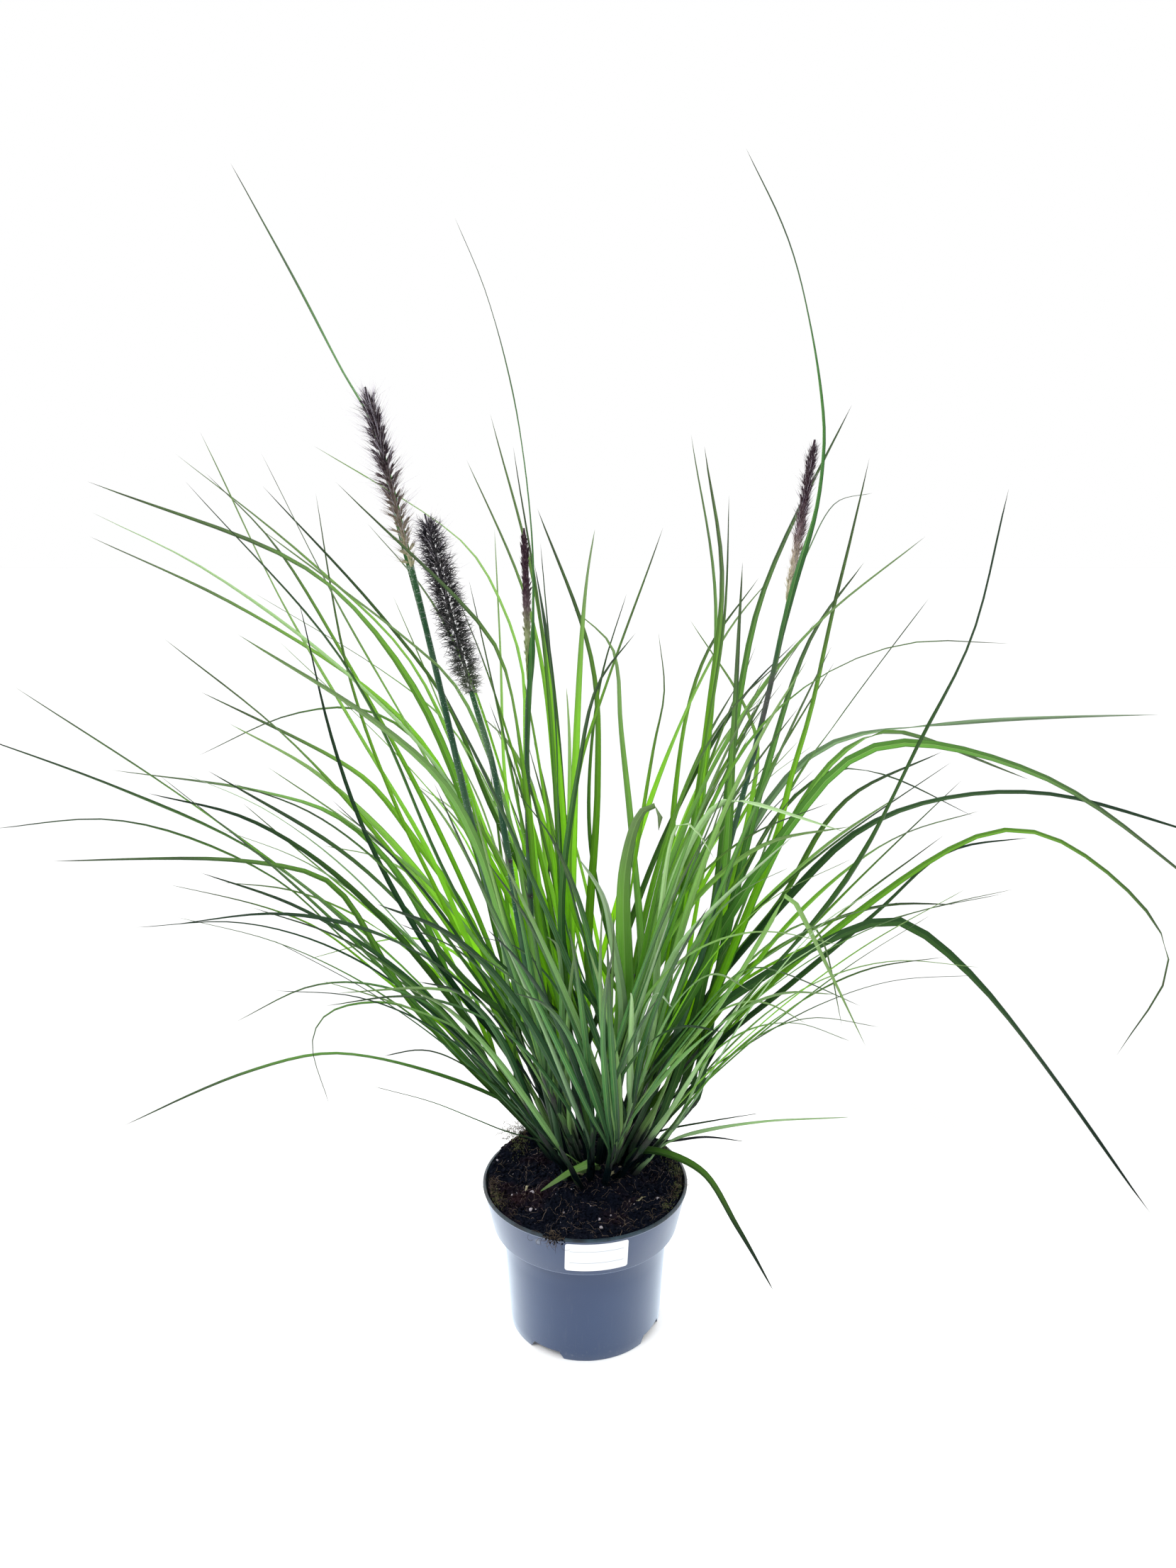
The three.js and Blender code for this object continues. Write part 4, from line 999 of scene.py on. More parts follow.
def neighbours(vert):
    return {edge.other_vert(vert) for edge in vert.link_edges}


def is_ring(verts):
    return len(verts) == 3 and all(set(verts) - {vert} <= neighbours(vert) for vert in verts)


def rings_from(tip):
    rings = [{tip}, neighbours(tip)]
    if not is_ring(rings[1]):
        return []
    while is_ring(rings[-1]):
        beyond = set().union(*(neighbours(vert) for vert in rings[-1])) - rings[-1] - rings[-2]
        rings.append(beyond)
    return [sorted((vert.co.copy() for vert in ring), key=tuple) for ring in rings[1:-1]]


def facing(rings):
    """For each ring from the tip down: its middle, its upward direction and its half width."""
    widest = max(range(len(rings)), key=lambda i: max((p - q).length for p in rings[i] for q in rings[i]))
    keels = {}
    p, q, r = rings[widest]
    sides = [((q - r).length, p), ((r - p).length, q), ((p - q).length, r)]
    keels[widest] = max(sides, key=lambda side: side[0])[1]
    order = [*range(widest + 1, len(rings)), *range(widest - 1, -1, -1)]
    middle = [sum(ring, Vector()) / 3 for ring in rings]
    for i in order:
        known = i - 1 if i > widest else i + 1
        down = (keels[known] - middle[known]).normalized()
        keels[i] = max(rings[i], key=lambda corner: (corner - middle[i]).normalized().dot(down))
    found = []
    for i, ring in enumerate(rings):
        first, second = [corner for corner in ring if corner is not keels[i]]
        centre = (first + second) / 2
        found.append((centre, (centre - keels[i]).normalized(), (first - second).length / 2))
    return found


def cad_shape(node):
    shape = bmesh.new()
    shape.from_mesh(NODES[node].data)
    bmesh.ops.remove_doubles(shape, verts=shape.verts, dist=CAD_MERGE)
    return shape


def cad_blades(shape):
    """Blades as lists from the stem out: ring after ring, and the tip last."""
    blades = []
    for tip in shape.verts:
        rings = rings_from(tip)
        if not rings:
            continue
        first = sum(rings[0], Vector()) / 3
        least = SHORTEST_STRETCH if len(rings) > 1 else 1.5 * SHORTEST_STRETCH
        faced = facing(rings)[::-1]
        if (first - tip.co).length < least or faced[0][2] > WIDEST_HALF:
            continue
        blades.append({"rings": faced, "tip": tip.co.copy()})
    return sorted(blades, key=lambda blade: tuple(blade["tip"]))


def cad_stem(shape):
    """Where a stem enters the soil, and which way it points: its foot is the lowest ring in the soil."""
    def is_foot(vert):
        out = (vert.co.xy - CROWN_MIDDLE).length
        return out < 60 * MM and vert.co.z < (soil_height(vert.co.x / MM, vert.co.y / MM) - 8) * MM
    foot = [vert.co for vert in shape.verts if is_foot(vert)]
    middle = sum(foot, Vector()) / len(foot)
    normal = Vector()
    for p, q in ((p, q) for p in foot for q in foot):
        cross = (p - middle).cross(q - middle)
        normal += cross if cross.z > 0 else -cross
    axis = normal.normalized()
    reach = [(vert.co - middle).dot(axis) for vert in shape.verts
             if ((vert.co - middle) - axis * (vert.co - middle).dot(axis)).length < 1.7 * MM]
    return middle, axis, max(along for along in reach if along < LONGEST_STEM)


STEMS = {}
for name in sorted(NODES):
    if name.startswith("tiller"):
        solid = cad_shape(name)
        foot, axis, length = cad_stem(solid)
        STEMS[name] = {"foot": foot, "axis": axis, "length": length, "blades": cad_blades(solid)}
        solid.free()
print(f"blades read: {sum(len(stem['blades']) for stem in STEMS.values())} on {len(STEMS)} stems")

# %% [markdown]
# ## Leaf finish
#
# A grass blade is dark blue-green low down, a fresh green in the middle and dries to a purplish grey at
# its long tip. Fine veins run its whole length beside a pale midrib. Light shines through it, which is
# what makes a clump glow, so a Translucent shader takes a part of the Principled one. Five numbers that
# each blade carries on its corners steer this: how far along, how far across, how much it is still a
# sheath, its own tint, from lime over bluish to pale sage, and its tone, from dark to light.

# %% Leaf finish
BLADE_LAYERS = ("along", "across", "sheath", "tint", "tone")
VEINS = 26  # radians of the vein pattern from the midrib to the edge


def leaf_green():
    finish = Finish("grass leaf", Specular_IOR_Level=0.09)
    along, across, sheath, tint, tone = (finish.attribute(name) for name in BLADE_LAYERS)
    fresh = finish.ramp(along, (0, 28, 80, 34), (0.3, 94, 160, 12), (0.6, 98, 152, 26), (0.82, 58, 68, 52),
                        (1, 50, 36, 52))
    bluish = finish.ramp(along, (0, 6, 44, 42), (0.3, 26, 94, 46), (0.6, 58, 112, 58), (0.82, 50, 58, 58),
                         (1, 44, 34, 50))
    # The pale sage is partly painted sheen: besides the leaves' own pale waxy colour, it stands for the
    # greyish-white sheen on them.
    sage = finish.ramp(along, (0, 132, 166, 138), (0.6, 150, 186, 136), (1, 176, 192, 170))
    mottle = finish.noise(40, 4)
    veins = (across * VEINS).sine() * 0.5 + 0.5
    rib = across.size().between(0.09, 0.03)
    scars = finish.noise(900, 2, (1, 1, 0.25)).between(0.70, 0.76) * finish.noise(12, 2).between(0.5, 0.62)
    green = finish.coats(
        fresh,
        (tint.between(0.2, 0.8), bluish),
        (tint.between(0.88, 0.92) * 0.85, sage),
        (mottle.between(0.4, 0.75) * 0.2, (104, 156, 60)),
        (veins * 0.24, (138, 186, 96)),
        (across.between(-0.06, 0.06) * 0.36, (6, 36, 18)),  # one half is folded away from the light
        (rib * 0.42, (156, 194, 112)),
        (scars * 0.6, (120, 88, 58)),
        (tone.between(0.5, 0.05) * 0.82, (2, 32, 22)),
        (tone.between(0.6, 1.0) * 0.38, (164, 206, 124)),
    )
    husk = finish.coats((34, 62, 38), (finish.noise(70, 3).between(0.3, 0.7), (74, 66, 72)))
    # Painted shade: below 29 cm the leaves darken towards a near-black blue-green, most near the crown and
    # least on light-toned leaves; the same painted shade dims their glow.
    height = finish.height()
    shade = height.between(0.29, 0.15) * 0.76 + height.between(0.18, 0.13) * 0.44
    deep = shade * (1 - tone.between(0.55, 0.95) * 0.72)
    finish.set(Base_Color=finish.coats(green, (sheath, husk), (deep, (0, 10, 14))))
    finish.set(Roughness=mottle * 0.2 + 0.38)
    finish.bump(veins * 0.6 - rib * 1.6 + finish.noise(160, 3) * 1.2, 0.12)
    young = tint.between(0.62, 0.05)
    lit = (young * 0.45 + 0.12) * (tone.between(0.15, 0.75) * 0.8 + 0.2)
    among = finish.away(CLUMP_MIDDLE).between(0.36, 0.17) * 0.8 + 0.2
    glow = lit * among * along.between(1.15, 0.35) * (1 - sheath * 0.9) * shade.between(0.85, 0)
    finish.glow(finish.coats((112, 184, 60), (young, (196, 244, 16))), glow)
    return finish


LEAF = leaf_green()

# %% [markdown]
# ## Leaf shape
#
# At its foot a grass leaf is a sheath that wraps the stem; at the collar it opens and leaves as a blade
# that is first a channel and then nearly flat. So one rule makes it all: a strip whose cross section is
# an arc. The arc wraps five sixths of a circle round the stem, opens at the collar, and flattens on its
# way to the tip. The strip is thin at its edges and thicker at the midrib.

# %% Leaf shape
GROWTH = random.Random(41)
noise.seed_set(5)  # unseeded, noise_vector would bend the leaves a little differently in each run


def leaf_section(across):
    """A closed row round a blade: out along its upper face and back along its lower one."""
    return [(a, 1) for a in across] + [(a, -1) for a in across[-2:0:-1]] + [(across[0], 1)]


SECTION = leaf_section((-1, -0.62, -0.22, 0, 0.22, 0.62, 1))
THIN_SECTION = leaf_section((-1, -0.4, 0.4, 1))
WRAP_DEG = 290
COLLAR_DEG = 170
CHANNEL_DEG = 74
FLAT_DEG = 58
LEAF_THICK = 0.45 * MM
FINEST_TIP = 0.24 * MM  # half width
TAPER = {"from": 1.25, "power": 0.62}  # as the frame's blades run out to their tips
AFTER_COLLAR = (0, 5, 11, 18, 27, 38)  # where the first sections of the blade lie, in millimetres


def blade_taper(share):
    return min(1, TAPER["from"] * max(1 - share, 0) ** TAPER["power"])


def leaf_distances(collar, length, count):
    """Where the sections lie: closer together at the collar, where the leaf bends and opens."""
    sheath = [collar * i / 4 for i in range(4)]
    near = [collar + step * MM for step in AFTER_COLLAR]
    far = [near[-1] + (length - near[-1]) * i / count for i in range(1, count + 1)]
    return sheath + near + far


def up_at(keys, distance):
    """The upward direction between the rings at which it is known."""
    for (low, first), (high, second) in zip(keys, keys[1:]):
        if distance <= high:
            return first.lerp(second, (distance - low) / max(high - low, 1e-9))
    return keys[-1][1]


def wrap_angle(out, share, closed):
    """How far round its stem, or how deep a channel, the section is at a distance out of the collar."""
    wrap = blend(COLLAR_DEG, WRAP_DEG, closed)
    wrap = blend(CHANNEL_DEG, wrap, 1 - smooth(out, 0, 24 * MM))
    return radians(blend(wrap, FLAT_DEG, smooth(share, 0.08, 0.5)))


def lay_leaf(shape, path, collar, ups, width, radius, colour, section=SECTION, count=26, cut=1, twist=1):
    """Add one leaf. collar is the length of its sheath, and radius is that of the stem inside it.

    colour is its tint and tone, and a leaf that is cut off ends at that share of its length."""
    distances = leaf_distances(collar, path.length, count)
    phase = Vector((GROWTH.uniform(0, 90), GROWTH.uniform(0, 90), GROWTH.uniform(0, 90)))
    rows, shares, sheaths = [], [], []
    for distance in distances:
        tangent = path.direction(distance)
        out = distance - collar
        share = max(out / (path.length - collar), 0)
        loose = smooth(out, 10 * MM, 80 * MM)
        up = up_at(ups, distance)
        up = (up - tangent * up.dot(tangent)).normalized()
        swing = noise.noise(phase + Vector((distance * 9, 0, 0))) * loose
        up = Quaternion(tangent, twist * swing * blend(0.3, 0.9, share)) @ up
        side = up.cross(tangent)
        closed = 1 - smooth(out, -9 * MM, 3 * MM)
        uneven = 1 + 0.35 * loose * noise.noise(phase + Vector((0, distance * 14, 0)))
        wrap = wrap_angle(out, share, closed) * uneven
        stem_half = radius * radians(blend(COLLAR_DEG, WRAP_DEG, closed)) / 2
        blade_half = width / 2 * blade_taper(share * cut) * blend(0.8, 1, smooth(share, 0, 0.2))
        blade_half *= 1 + 0.05 * noise.noise(phase + Vector((0, 0, distance * 22)))
        half = blend(stem_half, max(blade_half, FINEST_TIP), smooth(out, -2 * MM, 26 * MM))
        bend = half / (wrap / 2)
        sway = noise.noise_vector(phase + Vector((distance * 6, 0, 7))) * (1.1 * MM * loose)
        keel = path.at(distance) + sway * min(1, (path.length - distance) / (40 * MM))
        keel -= up * blend(radius, bend * (1 - cos(wrap / 2)) * 0.7, smooth(out, -4 * MM, 16 * MM))
        thick = LEAF_THICK * blend(0.75, 1, 1 - share)
        row = []
        for across, face in section:
            angle = across * wrap / 2
            inward = up * cos(angle) - side * sin(angle)
            corner = keel + side * (bend * sin(angle)) + up * (bend * (1 - cos(angle)))
            skin = thick / 2 * sqrt(max(1 - across ** 4, 0))
            rib = (0.5 * MM * (1 - share) if face < 0 else -0.1 * MM) * exp(-(across / 0.16) ** 2)
            row.append(corner + inward * (face * (skin + rib)))
        closes = distance in (distances[0], distances[-1])
        rows.append([keel] * len(row) if closes else row)
        shares.append(share)
        sheaths.append(1 - smooth(out, -14 * MM, 4 * MM))
    return wrapped(shape, rows, {
        "along": lambda row, column: shares[row],
        "across": lambda row, column: section[column][0],
        "sheath": lambda row, column: sheaths[row],
        "tint": colour[0],
        "tone": colour[1],
    })


# %% [markdown]
# ## Leafy stems
#
# For each leaf the path is rebuilt from the stem out. The blade's lowest ring points back at the stem;
# where that line passes it, the leaf turns. It comes up inside its sheath, leaves the stem a little lower,
# and rounds the corner. Lower leaves have the outer sheaths, as the real ones do, because a grass stem
# grows from the inside out.

# %% Leafy stems
SHEATH_STEP = 0.24 * MM  # each sheath lies over the ones inside it
BROADER = 1.28  # the frame's blades are a little narrow for their length
NARROWEST = 2.6 * MM
BROADEST = 12 * MM
STEM_RADIUS = (2.6, 1.5)  # at the soil and at the top


def nearest_on_axis(foot, axis, point, heading):
    """How far up the axis its nearest place to a line lies."""
    across = axis.cross(heading)
    if across.length < 0.05:
        return (point - foot).dot(axis) - 20 * MM
    normal = heading.cross(across)
    return (point - foot).dot(normal) / axis.dot(normal)


def opened(ring, share):
    """The upward direction of a ring, turned so that the open clump shows more of the blade's face."""
    centre, up, _ = ring
    view = (EYE - centre).normalized()
    return (up + view * (share if up.dot(view) > 0 else -share)).normalized()


def leaf_route(stem, blade):
    """The points of a leaf, the length of its sheath and the directions of its upper face."""
    foot, axis = stem["foot"], stem["axis"]
    rings = blade["rings"]
    centre = rings[0][0]
    onward = rings[1][0] if len(rings) > 1 else blade["tip"]
    turn = nearest_on_axis(foot, axis, centre, (onward - centre).normalized())
    turn = min(max(turn, 26 * MM), stem["length"] - 2 * MM)
    corner = foot + axis * turn
    early = min(max((centre - corner).length, 8 * MM), 25 * MM)
    leaves_at = max(turn - early, 20 * MM)
    node = foot + axis * leaves_at
    start = foot + axis * max(leaves_at - blade["sheath"], 12 * MM)
    rounded = (node + corner * 2 + centre) / 4
    path = Path([start, node, rounded, *(ring[0] for ring in rings), blade["tip"]])
    outward = centre - foot - axis * (centre - foot).dot(axis)
    inner = -outward.normalized()
    ups = [(0, inner), (path.knots[1], inner)]
    ups += [(path.knots[i + 3], opened(ring, blade["open"])) for i, ring in enumerate(rings)]
    return path, path.knots[1], ups


def blade_width(path, collar, blade, low):
    """The full width that a blade would have without its taper, from all its rings.

    low is how much of it is seen beside the clump, where leaves are slim."""
    measured = fitted = 0
    for i, (_, _, half) in enumerate(blade["rings"]):
        taper = blade_taper((path.knots[i + 3] - collar) / (path.length - collar))
        measured += 2 * half * taper
        fitted += taper ** 2
    broader = blend(1, BROADER, smooth(path.length, 300 * MM, 420 * MM) * (1 - low))
    return min(max(broader * measured / fitted, NARROWEST), BROADEST)


def tube(shape, path, radii, around, spacing, **values):
    """A round closed tube along a path: radii gives its radius at a distance."""
    count = max(int(path.length / spacing), 2)
    rows = []
    side = path.direction(0).orthogonal().normalized()
    for i in range(count + 1):
        distance = path.length * i / count
        tangent = path.direction(distance)
        side = (side - tangent * side.dot(tangent)).normalized()
        rows.append(circle_row(path.at(distance), side, tangent.cross(side), radii(distance), around))
    first, last = ([sum(row[:-1], Vector()) / around] * (around + 1) for row in (rows[0], rows[-1]))
    shares = [0, *(i / count for i in range(count + 1)), 1]
    return wrapped(shape, [first, *rows, last], {"along": lambda row, column: shares[row], **values})


# %% [markdown]
# Some leaves stand out in the photo: a pale one that hooks over, sage ones in front, the green one that
# hangs over the rim. They are known by their tips, and have a finish and a width of their own.

# %% Leaves that stand out
SEEN_REACH = 4 * MM
SEEN_TWIST = 0.2
# Tip: tint, tone, how much wider it is, how far it is turned to face the eye, and where it is cut off.
SEEN_LEAVES = {
    (-5, -110, 445): (0.94, 0.6, 1.1, 1.5, 1), (50, -100, 460): (0.38, 0.74, 2.1, 0.8, 0.94),
    (165, -150, 475): (0.95, 0.9, 1.3, 1.5, 1), (85, -130, 450): (0.95, 1.0, 1.4, 1.5, 1),
    (-35, -55, 151): (0.35, 0.95, 1.2, 2, 1), (-25, -40, 180): (0.6, 1, 1.3, 2, 1),
    (130, -170, 150): (0.3, 0.62, 1.35, 1.2, 1), (-157, -29, 254): (0.6, 0.2, 1.2, 1, 0.8),
    (135, -140, 470): (0.94, 0.7, 1, 1, 1), (126, -182, 329): (0.94, 0.6, 1, 1, 1),
    (112, -11, 634): (0.45, 0.42, 1.4, 2, 1), (211, 109, 748): (0.5, 0.4, 1.1, 1.5, 1),
    (237, 148, 622): (0.6, 0.42, 1.2, 1.5, 1), (97, 128, 716): (0.1, 0.6, 1.1, 1.5, 1),
    (375, 96, 445): (0.4, 0.5, 1, 1.2, 1), (491, -9, 375): (0.55, 0.52, 1, 1.2, 1),
}


def seen_leaf(blade):
    for tip, plan in SEEN_LEAVES.items():
        if (blade["tip"] - millimetres(*tip)).length < SEEN_REACH:
            return plan
    return None


# %% [markdown]
# The other leaves follow rules. Where a leaf is seen beside the clump, low and against the light, it is
# slim; where it stands decides whether it is lime, bluish or sage, light or dark.

# %% Rules for the other leaves
OPEN_SLOPE = 1.1  # below this slope from the crown the clump is open
LYING_SLOPE = 0.3  # and a leaf whose tip is below this one hangs or lies
SLIMMER = 0.52  # how much slimmer the short leaves down there are
SHORT_LEAF = 0.42
SAGE_TINT = 0.95


def seen_place(point):
    """Across and up where a place is seen from the front, on the upright plane through the crown."""
    share = (CROWN_MIDDLE.y - EYE.y) / (point.y - EYE.y)
    return blend(EYE.x, point.x, share), blend(EYE.z, point.z, share)


def low_share(points, slope=OPEN_SLOPE):
    """How much of a leaf is seen lower than a slope that rises from the crown."""
    places = [seen_place(point) for point in points]
    return sum(z - POT_HEIGHT * MM < slope * abs(x) for x, z in places) / len(places)


def leaf_colour(middle, draw, sages=1.0):
    """Tint and tone by place: lime at the back, dark and bluish at the left in front, sage at the right.

    Leaves that arch far out are darker and bluer."""
    right = smooth(middle.x, -0.01, 0.09) * smooth(middle.y, 0.05, -0.04)
    left = smooth(middle.x, 0.02, -0.1) * smooth(middle.y, 0.05, -0.04)
    outer = smooth(abs(middle.x), 0.12, 0.26)
    low = smooth(middle.z, 0.42, 0.3)
    tone = 0.6 + draw.gauss(0, 0.27) + 0.12 * right - 0.34 * left * low
    tone -= (0.6 if middle.x > 0 else 0.42) * outer
    tone = min(max(tone, 0), 1)
    if draw.random() < sages * (0.04 + 0.24 * right * low):
        return SAGE_TINT, tone
    tint = 0.44 - middle.y / 0.2 + draw.gauss(0, 0.26) - 0.32 * right + 0.15 * outer
    return min(max(tint, 0), 0.86), tone


def tiller_shape(stem):
    """One stem with all its leaves."""
    shape = with_layers(*BLADE_LAYERS)
    foot, axis, length = stem["foot"], stem["axis"], stem["length"]

    def stem_radius(distance):
        closing = 0.3 if distance > length - 1e-6 else 1
        return blend(*STEM_RADIUS, distance / length) * MM * closing

    straight = Path([foot, foot + axis * length / 2, foot + axis * length])
    tube(shape, straight, stem_radius, 8, 12 * MM, sheath=0.8, across=0.5, tint=0.3, tone=0.3)
    for blade in stem["blades"]:
        blade["sheath"] = GROWTH.uniform(32, 55) * MM
        blade["open"] = GROWTH.uniform(0.3, 1.3) if GROWTH.random() < 0.8 else 0
        if seen_leaf(blade):
            blade["open"] = seen_leaf(blade)[3]
    routes = [leaf_route(stem, blade) for blade in stem["blades"]]
    heights = [(path.at(collar) - foot).dot(axis) for path, collar, _ in routes]
    for (path, collar, ups), blade, height in zip(routes, stem["blades"], heights):
        inside = sum(other > height for other in heights)
        radius = stem_radius(height) + SHEATH_STEP * (inside + 1)
        middles = [ring[0] for ring in blade["rings"]]
        low = low_share(middles)
        width = blade_width(path, collar, blade, low)
        if path.length < SHORT_LEAF and not low_share([blade["tip"]], LYING_SLOPE):
            width *= 1 - SLIMMER * low
        colour = leaf_colour(sum(middles, Vector()) / len(middles), GROWTH)
        cut, twist = 1, 1
        if seen_leaf(blade):
            *colour, wider, _, cut = seen_leaf(blade)
            width *= wider
            twist = SEEN_TWIST
        lay_leaf(shape, path, collar, ups, width, radius, colour, cut=cut, twist=twist)
        blade["path"] = path
    return merged(shape)


for name, stem in STEMS.items():
    finished(f"{name}_foliage", tiller_shape(stem), [LEAF], [name])

# %% [markdown]
# ## Young leaves
#
# A clump this full has more leaves than can be told apart. Between the leaves that were placed one by one
# stand narrow young ones, drawn by a seeded lot: each grows from near the top of a stem, bends out and
# over, and is kept only if it stays clear of every other leaf and inside the clump.

# %% Young leaves
YOUNG = random.Random(77)
YOUNG_PER_STEM = 6
YOUNG_TRIES = 30
YOUNG_ROOM = 2.2 * MM
YOUNG_RADIUS = 1.9 * MM  # of the stem inside the sheath
SAMPLE = 6 * MM


def samples_of(path, start=0.0):
    count = int((path.length - start) / SAMPLE)
    return [path.at(start + SAMPLE * i) for i in range(1, count)]


TAKEN = [point for stem in STEMS.values() for blade in stem["blades"] for point in samples_of(blade["path"])]


def space_of(points):
    tree = KDTree(len(points))
    for i, point in enumerate(points):
        tree.insert(point, i)
    tree.balance()
    return tree


def young_path(stem):
    """A leaf that starts up its stem and bends over towards a drawn side."""
    node_at = stem["length"] * YOUNG.uniform(0.35, 0.97)
    node = stem["foot"] + stem["axis"] * node_at
    start = node - stem["axis"] * min(YOUNG.uniform(20, 40) * MM, node_at - 10 * MM)
    lean_out = Vector((stem["axis"].x, stem["axis"].y, 0)).normalized()
    heading = Quaternion(UP, YOUNG.gauss(0, 0.6)) @ lean_out
    length = YOUNG.uniform(230, 490) * MM
    first = stem["axis"].angle(UP)
    last = first + radians(YOUNG.uniform(0, 32))
    onset = YOUNG.uniform(1.2, 2.4)
    sweep = YOUNG.gauss(0, 0.2)
    points = [start, node]
    for i in range(1, 7):
        share = i / 6
        lean = blend(first, last, share ** onset)
        flat = Quaternion(UP, sweep * share) @ heading
        points.append(points[-1] + (flat * sin(lean) + UP * cos(lean)) * length / 6)
    return Path(points), heading


YOUNG_TOP = 0.62
YOUNG_REACH = 0.26
YOUNG_SLOPE = 0.8
# Seen from the front, no young leaf lies below these slopes, which start a little below the pot's lip.
STEEP_LEFT = 2.8
STEEP_RIGHT = 2.0
STEEP_DROP = 14 * MM
GAP = {"foot": (0.045, 0.32), "widest": 0.07, "left": 0.6, "right": 0.3}  # it opens upwards from its foot
BARE_STEMS = 0.24  # up to this height no young leaf's upper half is seen before the stems
RIM = {"out": 92 * MM, "up": 134 * MM}


def inside_clump(points):
    """Young leaves stay off the rim and the ground, within the clump, and out of the gap in its middle."""
    for i, p in enumerate(points):
        out = p.xy.length
        if out < RIM["out"] and p.z < RIM["up"]:
            return False
        if p.z > YOUNG_TOP or out > YOUNG_REACH or p.z - POT_HEIGHT * MM < out * YOUNG_SLOPE:
            return False
        x, z = seen_place(p)
        above = z - GAP["foot"][1]
        left, right = (min(GAP[side] * above, GAP["widest"]) for side in ("left", "right"))
        if -left < x - GAP["foot"][0] < right:
            return False
        if z - POT_HEIGHT * MM < (STEEP_LEFT if x < 0 else STEEP_RIGHT) * abs(x) - STEEP_DROP:
            return False
        if p.y < CROWN_MIDDLE.y and z < BARE_STEMS and i > len(points) / 2:
            return False
    return True


# One leaf at the right stands far above the others there. It is laid through points of its own.
TALL_LEAF = [(30, 22, 134), (45, 21, 168), (76, 20, 214), (149, 20, 413), (154, 20, 436), (159, 20, 465),
             (172, 20, 519), (181, 20, 571), (187, 20, 605), (194, 20, 639), (202, 20, 682), (206, 20, 706)]


def young_plan(stem, space):
    """One young leaf of a stem, or None if every place that is drawn for it is taken."""
    for _ in range(YOUNG_TRIES):
        path, heading = young_path(stem)
        collar = path.knots[1]
        free = samples_of(path, collar + 30 * MM)
        if inside_clump(free) and all(space.find(point)[2] > YOUNG_ROOM for point in free):
            middle = path.at(path.length * 0.6)
            view = (EYE - middle).normalized()
            up = (UP * 0.4 - heading).normalized()
            facing_eye = YOUNG.uniform(0.6, 1.6)
            up = up + view * (facing_eye if up.dot(view) > 0 else -facing_eye)
            ups = [(0, -heading), (collar, -heading), (collar + 60 * MM, up.normalized())]
            width = YOUNG.uniform(3.0, 6.2) * MM
            TAKEN.extend(free)
            return path, collar, ups, width, YOUNG_RADIUS, leaf_colour(middle, YOUNG, 0.3), THIN_SECTION, 20
    return None


def young_shape():
    tall = Path([millimetres(*point) for point in TALL_LEAF])
    aside = Vector((-0.5, -0.86, 0.1))
    plans = [(tall, tall.knots[1], [(0, aside), (tall.length, aside)], 6.6 * MM, YOUNG_RADIUS, (0.1, 0.6))]
    for stem in STEMS.values():
        for _ in range(YOUNG_PER_STEM):
            plan = young_plan(stem, space_of(TAKEN))
            if plan:
                plans.append(plan)
    print(f"young leaves: {len(plans)}")
    return gathered(lay_leaf, plans, BLADE_LAYERS)


finished("young_leaves", young_shape(), [LEAF])

# %% [markdown]
# ## Flowering stems
#
# Four thin culms rise out of the clump. Each is jointed: a dark knot marks where a leaf's sheath is
# rooted, and the sheath hugs the culm up to where its leaf bends away. The points are the same
# ones that the frame's stems were laid through.

# %% Flowering stems
CULMS = [
    {"ground": (-18, 12),
     "path": [(-38, 5, 230), (-64, -2, 338), (-84, -8, 427), (-106, -16, 544), (-123, -20, 631)],
     "leaves": [(6, 0.88, [(-131, 2, 649), (-152, 20, 728), (-176, 33, 770), (-207, 48, 827),
                           (-253, 60, 909)])],
     "knots": (0.3, 0.62), "hairs": 520, "slim": 0.2, "stout": 1.35},
    {"ground": (-16, -2),
     "path": [(-34, -12, 251), (-49, -28, 355), (-58, -40, 432), (-66, -50, 494), (-79, -60, 549)],
     "leaves": [], "knots": (0.35, 0.7), "hairs": 520, "slim": 0.3, "stout": 1.3},
    {"ground": (-8, 16),
     "path": [(-34, 12, 226), (-41, 8, 320), (-44, 5, 412), (-44, 1, 500), (-42, 0, 551)],
     "leaves": [(5.5, 0.8, [(-37, -8, 604), (-37, -8, 645), (-42, -7, 700), (-51, -5, 753), (-68, 0, 815),
                            (-88, 0, 862)])],
     "knots": (0.3, 0.6), "hairs": 60, "slim": 1, "stout": 1},
    {"ground": (28, 22),
     "path": [(67, 18, 223), (89, 15, 300), (108, 12, 392), (135, 4, 524), (148, 0, 604)],
     "leaves": [(5.5, 0.9, [(150, -8, 614), (163, -14, 670), (166, -14, 708), (165, -12, 732), (155, -4, 790),
                            (139, 0, 843), (107, 0, 904)]),
                (4, 0.82, [(154, 12, 613), (164, 16, 641), (183, 18, 675), (210, 22, 681)])],
     "knots": (0.28, 0.58), "hairs": 90, "slim": 0.6, "stout": 1.15},
]
CULM_RADIUS = (2.4, 1.25)  # at the soil and at the top
HOLE_DEPTH = 16
LEAF_FREE = 0.02  # share of the culm after its node at which a leaf has left it
HAIRY_REACH = 190 * MM


def culm_path(plan):
    x, y = plan["ground"]
    soil_point = millimetres(x, y, soil_height(x, y) - 1)
    rest = [millimetres(*point) for point in plan["path"]]
    root = soil_point - (rest[0] - soil_point).normalized() * HOLE_DEPTH * MM
    return Path([root, soil_point, *rest], 24)


